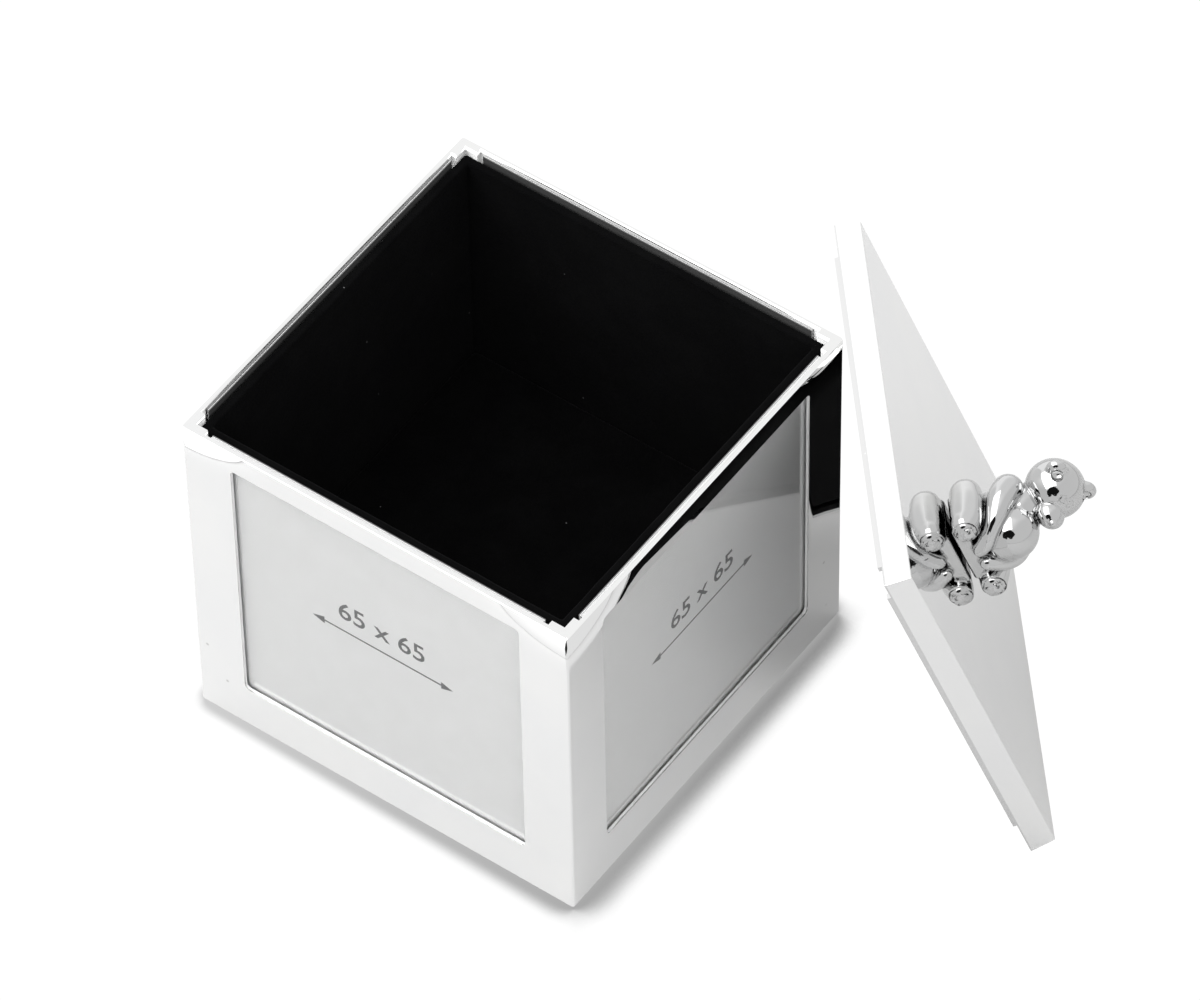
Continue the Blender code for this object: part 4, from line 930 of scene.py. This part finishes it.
def make_print(side, index):
    """A plain size mark on one card: two numbers over a double arrow, given a small thickness."""
    work = bmesh.new()
    words = flat_text("65 x 65", 6.4)
    work.from_mesh(words)
    bpy.data.meshes.remove(words)
    bmesh.ops.translate(work, verts=work.verts, vec=(0.0, 2.2, 0.0))
    outline = arrow_outline(31.0, 0.4, 2.6, 0.95)
    for height in (-0.01, 0.01):
        ring = [work.verts.new((x, y - 3.2, height)) for x, y in outline]
        work.faces.new(ring if height > 0 else ring[::-1])
        if height < 0:
            first = ring
    for k in range(len(outline)):
        after = (k + 1) % len(outline)
        work.faces.new((first[k], first[after], ring[after], ring[k]))
    _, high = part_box("photo_card_right")
    face = high.x + 0.012 * MM
    mark_height = 46.0 * MM
    stand = Matrix(((0, 0, 1, 0), (1, 0, 0, 0), (0, 1, 0, 0), (0, 0, 0, 1)))
    lift = Matrix.Translation((face, 0.0, mark_height)) @ stand @ Matrix.Scale(MM, 4)
    quarter_turns = Matrix.Rotation(index * math.pi / 2, 4, "Z")
    bmesh.ops.transform(work, verts=work.verts, matrix=quarter_turns @ lift)
    bmesh.ops.recalc_face_normals(work, faces=work.faces)
    mesh = bpy.data.meshes.new("size_mark_" + side)
    work.to_mesh(mesh)
    work.free()
    mesh.materials.append(INK)
    mark = link("size_mark_" + side, mesh)
    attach(mark, "photo_" + side)


for index, side in enumerate(("right", "back", "left", "front")):
    make_print(side, index)


# Base felt
def cut_round_hole(sheet, x, y, radius, sides=48):
    """Cuts a round hole through a flat sheet."""
    angle = np.linspace(0.0, 2 * math.pi, sides, endpoint=False)
    ring = np.stack([x + radius * np.cos(angle), y + radius * np.sin(angle)], axis=1)
    tube = np.concatenate([np.column_stack([ring, np.full(sides, z)]) for z in (-2.0, 3.0)])
    walls = grid_faces(2, sides, round_columns=True)
    caps = [tuple(range(sides)), tuple(range(sides, 2 * sides))]
    mesh = bpy.data.meshes.new("felt_cutter")
    mesh.from_pydata((tube * MM).tolist(), [], walls.tolist() + caps)
    with editing(mesh) as work:
        bmesh.ops.recalc_face_normals(work, faces=work.faces)
    cutter = link("felt_cutter", mesh)
    hole = sheet.modifiers.new("hole", "BOOLEAN")
    hole.operation = "DIFFERENCE"
    hole.solver = "EXACT"
    hole.object = cutter
    bpy.context.view_layer.update()
    evaluated = sheet.evaluated_get(bpy.context.evaluated_depsgraph_get())
    cut = bpy.data.meshes.new_from_object(evaluated)
    sheet.modifiers.clear()
    sheet.data = cut
    bpy.data.objects.remove(cutter)
    bpy.data.meshes.remove(mesh)


def make_felt():
    """The felt sheet: a fine grid plate with its holes cut, its edges rounded and its underside uneven."""
    _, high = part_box("base_felt")
    half = high.x / MM
    top = high.z / MM
    edge = 0.25
    profile = steps((0.0, 0.0), (half - edge, 0.0), 44)
    profile += arc_points((half - edge, edge), edge, -90, 0, 4)
    profile += arc_points((half - edge, top - edge), edge, 0, 90, 4)
    profile += steps((half - edge * 2, top), (0.0, top), 30)
    profile += [(0.0, top)]
    points, faces = swept_square(profile, SHEET_CORNER, FINE_SWEEP)
    under = points[:, 2] < 0.4 * top
    points[:, 2] += np.where(under, 0.04 * (1.0 + soft_noise(points, 1.4, 0.3)), 0.0)
    felt = piece("felt_sheet", points * MM, faces, FELT)
    post = 39.9 - 3.85
    screw_hole, movement_hole, well_hole = 3.0, 2.8, 13.2
    holes = [(x, y, screw_hole) for x in (-post, post) for y in (-post, post)]
    holes += [(x, y, movement_hole) for x, y in ((-28.0, -19.5), (-28.0, 14.0), (20.0, -19.5))]
    holes.append((-17.0, 0.0, well_hole))
    for x, y, radius in holes:
        cut_round_hole(felt, x, y, radius)
    with editing(felt.data) as work:
        bmesh.ops.triangulate(work, faces=work.faces)
        bmesh.ops.remove_doubles(work, verts=work.verts, dist=0.04 * MM)
        bmesh.ops.dissolve_degenerate(work, edges=work.edges, dist=0.01 * MM)
        bmesh.ops.triangulate(work, faces=work.faces)
    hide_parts("base_felt")
    taken = sum(math.pi * (r * MM) ** 2 for x, y, r in holes)
    size = 2 * half * MM
    size * size - taken
    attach(felt, "base_unit")


make_felt()


# Studio
def burnt_out(graph):
    """Over-exposed paper: white, with a narrow soft shade where something stands on it.

    The shade is wider and deeper to the right, deepest beside the right face, and left out under the lid.
    """
    x, y, _ = graph.axes()
    right = x.above(40.0, 46.0)
    along = (x + 40.0) / 80.0
    wide = (3.5 + 2.1 * along + 2.7 * right) * MM
    near = graph.shelter(16, wide)
    deep = graph.blend(along, grey(0.62), grey(0.42))
    beside = graph.blend(y.above(-40.0, 30.0), grey(0.33), grey(0.17))
    deep = graph.blend(right, deep, beside)
    under_lid = x.above(51.0, 56.0)
    deep = graph.blend(under_lid, deep, grey(1.03))
    shade = graph.blend(near.above(0.60, 0.97), deep, grey(1.03))
    return {
        "Base Color": grey(0.0),
        "Specular IOR Level": 0.0,
        "Emission Color": shade,
        "Emission Strength": 1.0,
    }


def table_paper(graph):
    """Paper lit by the room, with painted shade and a painted glow: its colour is greyer to the right,
    behind, far from the object and under the leaning lid, and it glows a little, less to the right and under
    the lid.
    """
    far = graph.vectors("LENGTH", graph.place(), output="Value")
    x, y, _ = graph.axes()
    from_lid_x = x - 50.0
    from_lid_y = y - 42.0
    reach = (from_lid_x * from_lid_x + from_lid_y * from_lid_y) ** 0.5
    open_air = reach.above(12.0, 27.0)
    right = x.above(35.0, 85.0)
    behind = y.above(50.0, 110.0)
    # Painted shade: the paper's colour is darkened to the right, behind, far off and under the leaning lid.
    colour = graph.blend(right, grey(0.395), grey(0.365))
    colour = graph.blend(behind, colour, grey(0.35))
    colour = graph.blend(far.above(0.35, 1.2), colour, grey(0.34))
    colour = graph.blend(open_air, grey(0.32), colour)
    # Painted light: the paper glows by itself, less to the right and under the lid.
    glow = graph.blend(right, grey(0.3), grey(0.24))
    glow = graph.blend(open_air, grey(0.2), glow)
    return {
        "Base Color": colour,
        "Roughness": 0.9,
        "Specular IOR Level": 0.0,
        "Emission Color": glow,
        "Emission Strength": 1.0,
    }


def make_sheet_of_paper(name, height, recipe):
    """A wide flat sheet, worked out on a coarse grid."""
    count = 33
    a = np.linspace(-4.0, 4.0, count)
    x, y = np.meshgrid(a, a, indexing="ij")
    points = np.stack([x.ravel(), y.ravel(), np.full(x.size, height)], axis=1)
    mesh = bpy.data.meshes.new(name)
    fill_mesh(mesh, points, grid_faces(count, count)[:, ::-1])
    mesh.materials.append(material(name, recipe))
    floor = link(name, mesh)
    return floor


def make_floor():
    """The paper that the camera sees, burnt out, and the duller one that the metal mirrors."""
    seen = make_sheet_of_paper("studio_paper", -0.05 * MM, burnt_out)
    seen.visible_glossy = False
    seen.visible_diffuse = False
    seen.visible_transmission = False
    table = make_sheet_of_paper("studio_table", -0.08 * MM, table_paper)
    table.visible_camera = False


def towards(azimuth, elevation):
    """A unit direction from the object, azimuth 0 towards -Y and 90 towards +X."""
    a = math.radians(azimuth)
    e = math.radians(elevation)
    return (math.sin(a) * math.cos(e), -math.cos(a) * math.cos(e), math.sin(e))


def make_sky():
    """The room as the metal sees it: pale grey, white at the left and back, with a dark cluster in front."""
    world = bpy.data.worlds.new("studio")
    bpy.context.scene.world = world
    world.use_nodes = True
    graph = Graph(world.node_tree)
    way = graph.add("ShaderNodeTexCoord", output="Generated")

    def facing(azimuth, elevation):
        """1 in a direction, less away from it."""
        return graph.vectors("DOT_PRODUCT", way, towards(azimuth, elevation), output="Value")

    left = facing(272.0, 32.0).above(-0.1, 0.6)
    back = facing(190.0, 45.0).above(0.8, 0.97)
    room = graph.blend(left, grey(0.8), grey(1.22))
    room = graph.blend(back, room, grey(0.95))
    ragged = graph.add("ShaderNodeTexNoise", None, {"Vector": way, "Scale": 3.2, "Detail": 2.0})
    middle = facing(28.0, 36.0) + 0.30 * (ragged - 0.5)
    dark = middle.above(0.928, 0.938)
    seen = graph.blend(dark, room, grey(0.01))
    backdrop = graph.add("ShaderNodeBackground", None, {"Color": seen, "Strength": 1.0})
    graph.add("ShaderNodeOutputWorld", None, {"Surface": backdrop})


def make_light(name, azimuth, elevation, distance, size, radiance, in_metal=True):
    """A soft box whose face has a given brightness: its power is brightness times pi times area.

    With in_metal off it lights the matt surfaces only, and the metal doesn't mirror it.
    """
    width, height = size
    lamp = bpy.data.lights.new(name, "AREA")
    lamp.shape = "RECTANGLE"
    lamp.size = width
    lamp.size_y = height
    lamp.energy = radiance * math.pi * width * height
    holder = link(name, lamp)
    way = Vector(towards(azimuth, elevation))
    holder.location = way * distance
    holder.rotation_mode = "QUATERNION"
    holder.rotation_quaternion = way.to_track_quat("Z", "Y")
    holder.visible_glossy = in_metal


def make_camera():
    """The photograph's view: a long lens from the front right, high up, and very slightly rolled."""
    azimuth, elevation, roll = 36.553, 50.322, math.radians(-1.112)
    back = Vector(towards(azimuth, elevation))
    a = math.radians(azimuth)
    right = Vector((math.cos(a), math.sin(a), 0.0))
    up = back.cross(right)
    rolled_right = right * math.cos(roll) + up * math.sin(roll)
    rolled_up = up * math.cos(roll) - right * math.sin(roll)
    lens = bpy.data.cameras.new("photo_camera")
    lens.lens = 260.66
    lens.sensor_width = 36.0
    lens.clip_start = 0.05
    lens.clip_end = 20.0
    holder = link("photo_camera", lens)
    facing = Matrix((rolled_right, rolled_up, back)).transposed()
    eye = (0.60679, -0.79346, 1.24856)
    holder.matrix_world = Matrix.Translation(eye) @ facing.to_4x4()
    bpy.context.scene.camera = holder


make_floor()
make_sky()
make_light("window_softbox", -47.0, 68.0, 1.3, (1.8, 1.5), 1.7)
make_light("right_fill", 60.0, 35.0, 1.5, (1.2, 1.0), 2.5, in_metal=False)
make_light("front_fill", -30.0, 40.0, 1.5, (1.2, 1.0), 2.5, in_metal=False)
make_camera()
view = bpy.context.scene.view_settings
view.view_transform = "Standard"
view.look = "None"

bpy.context.view_layer.update()
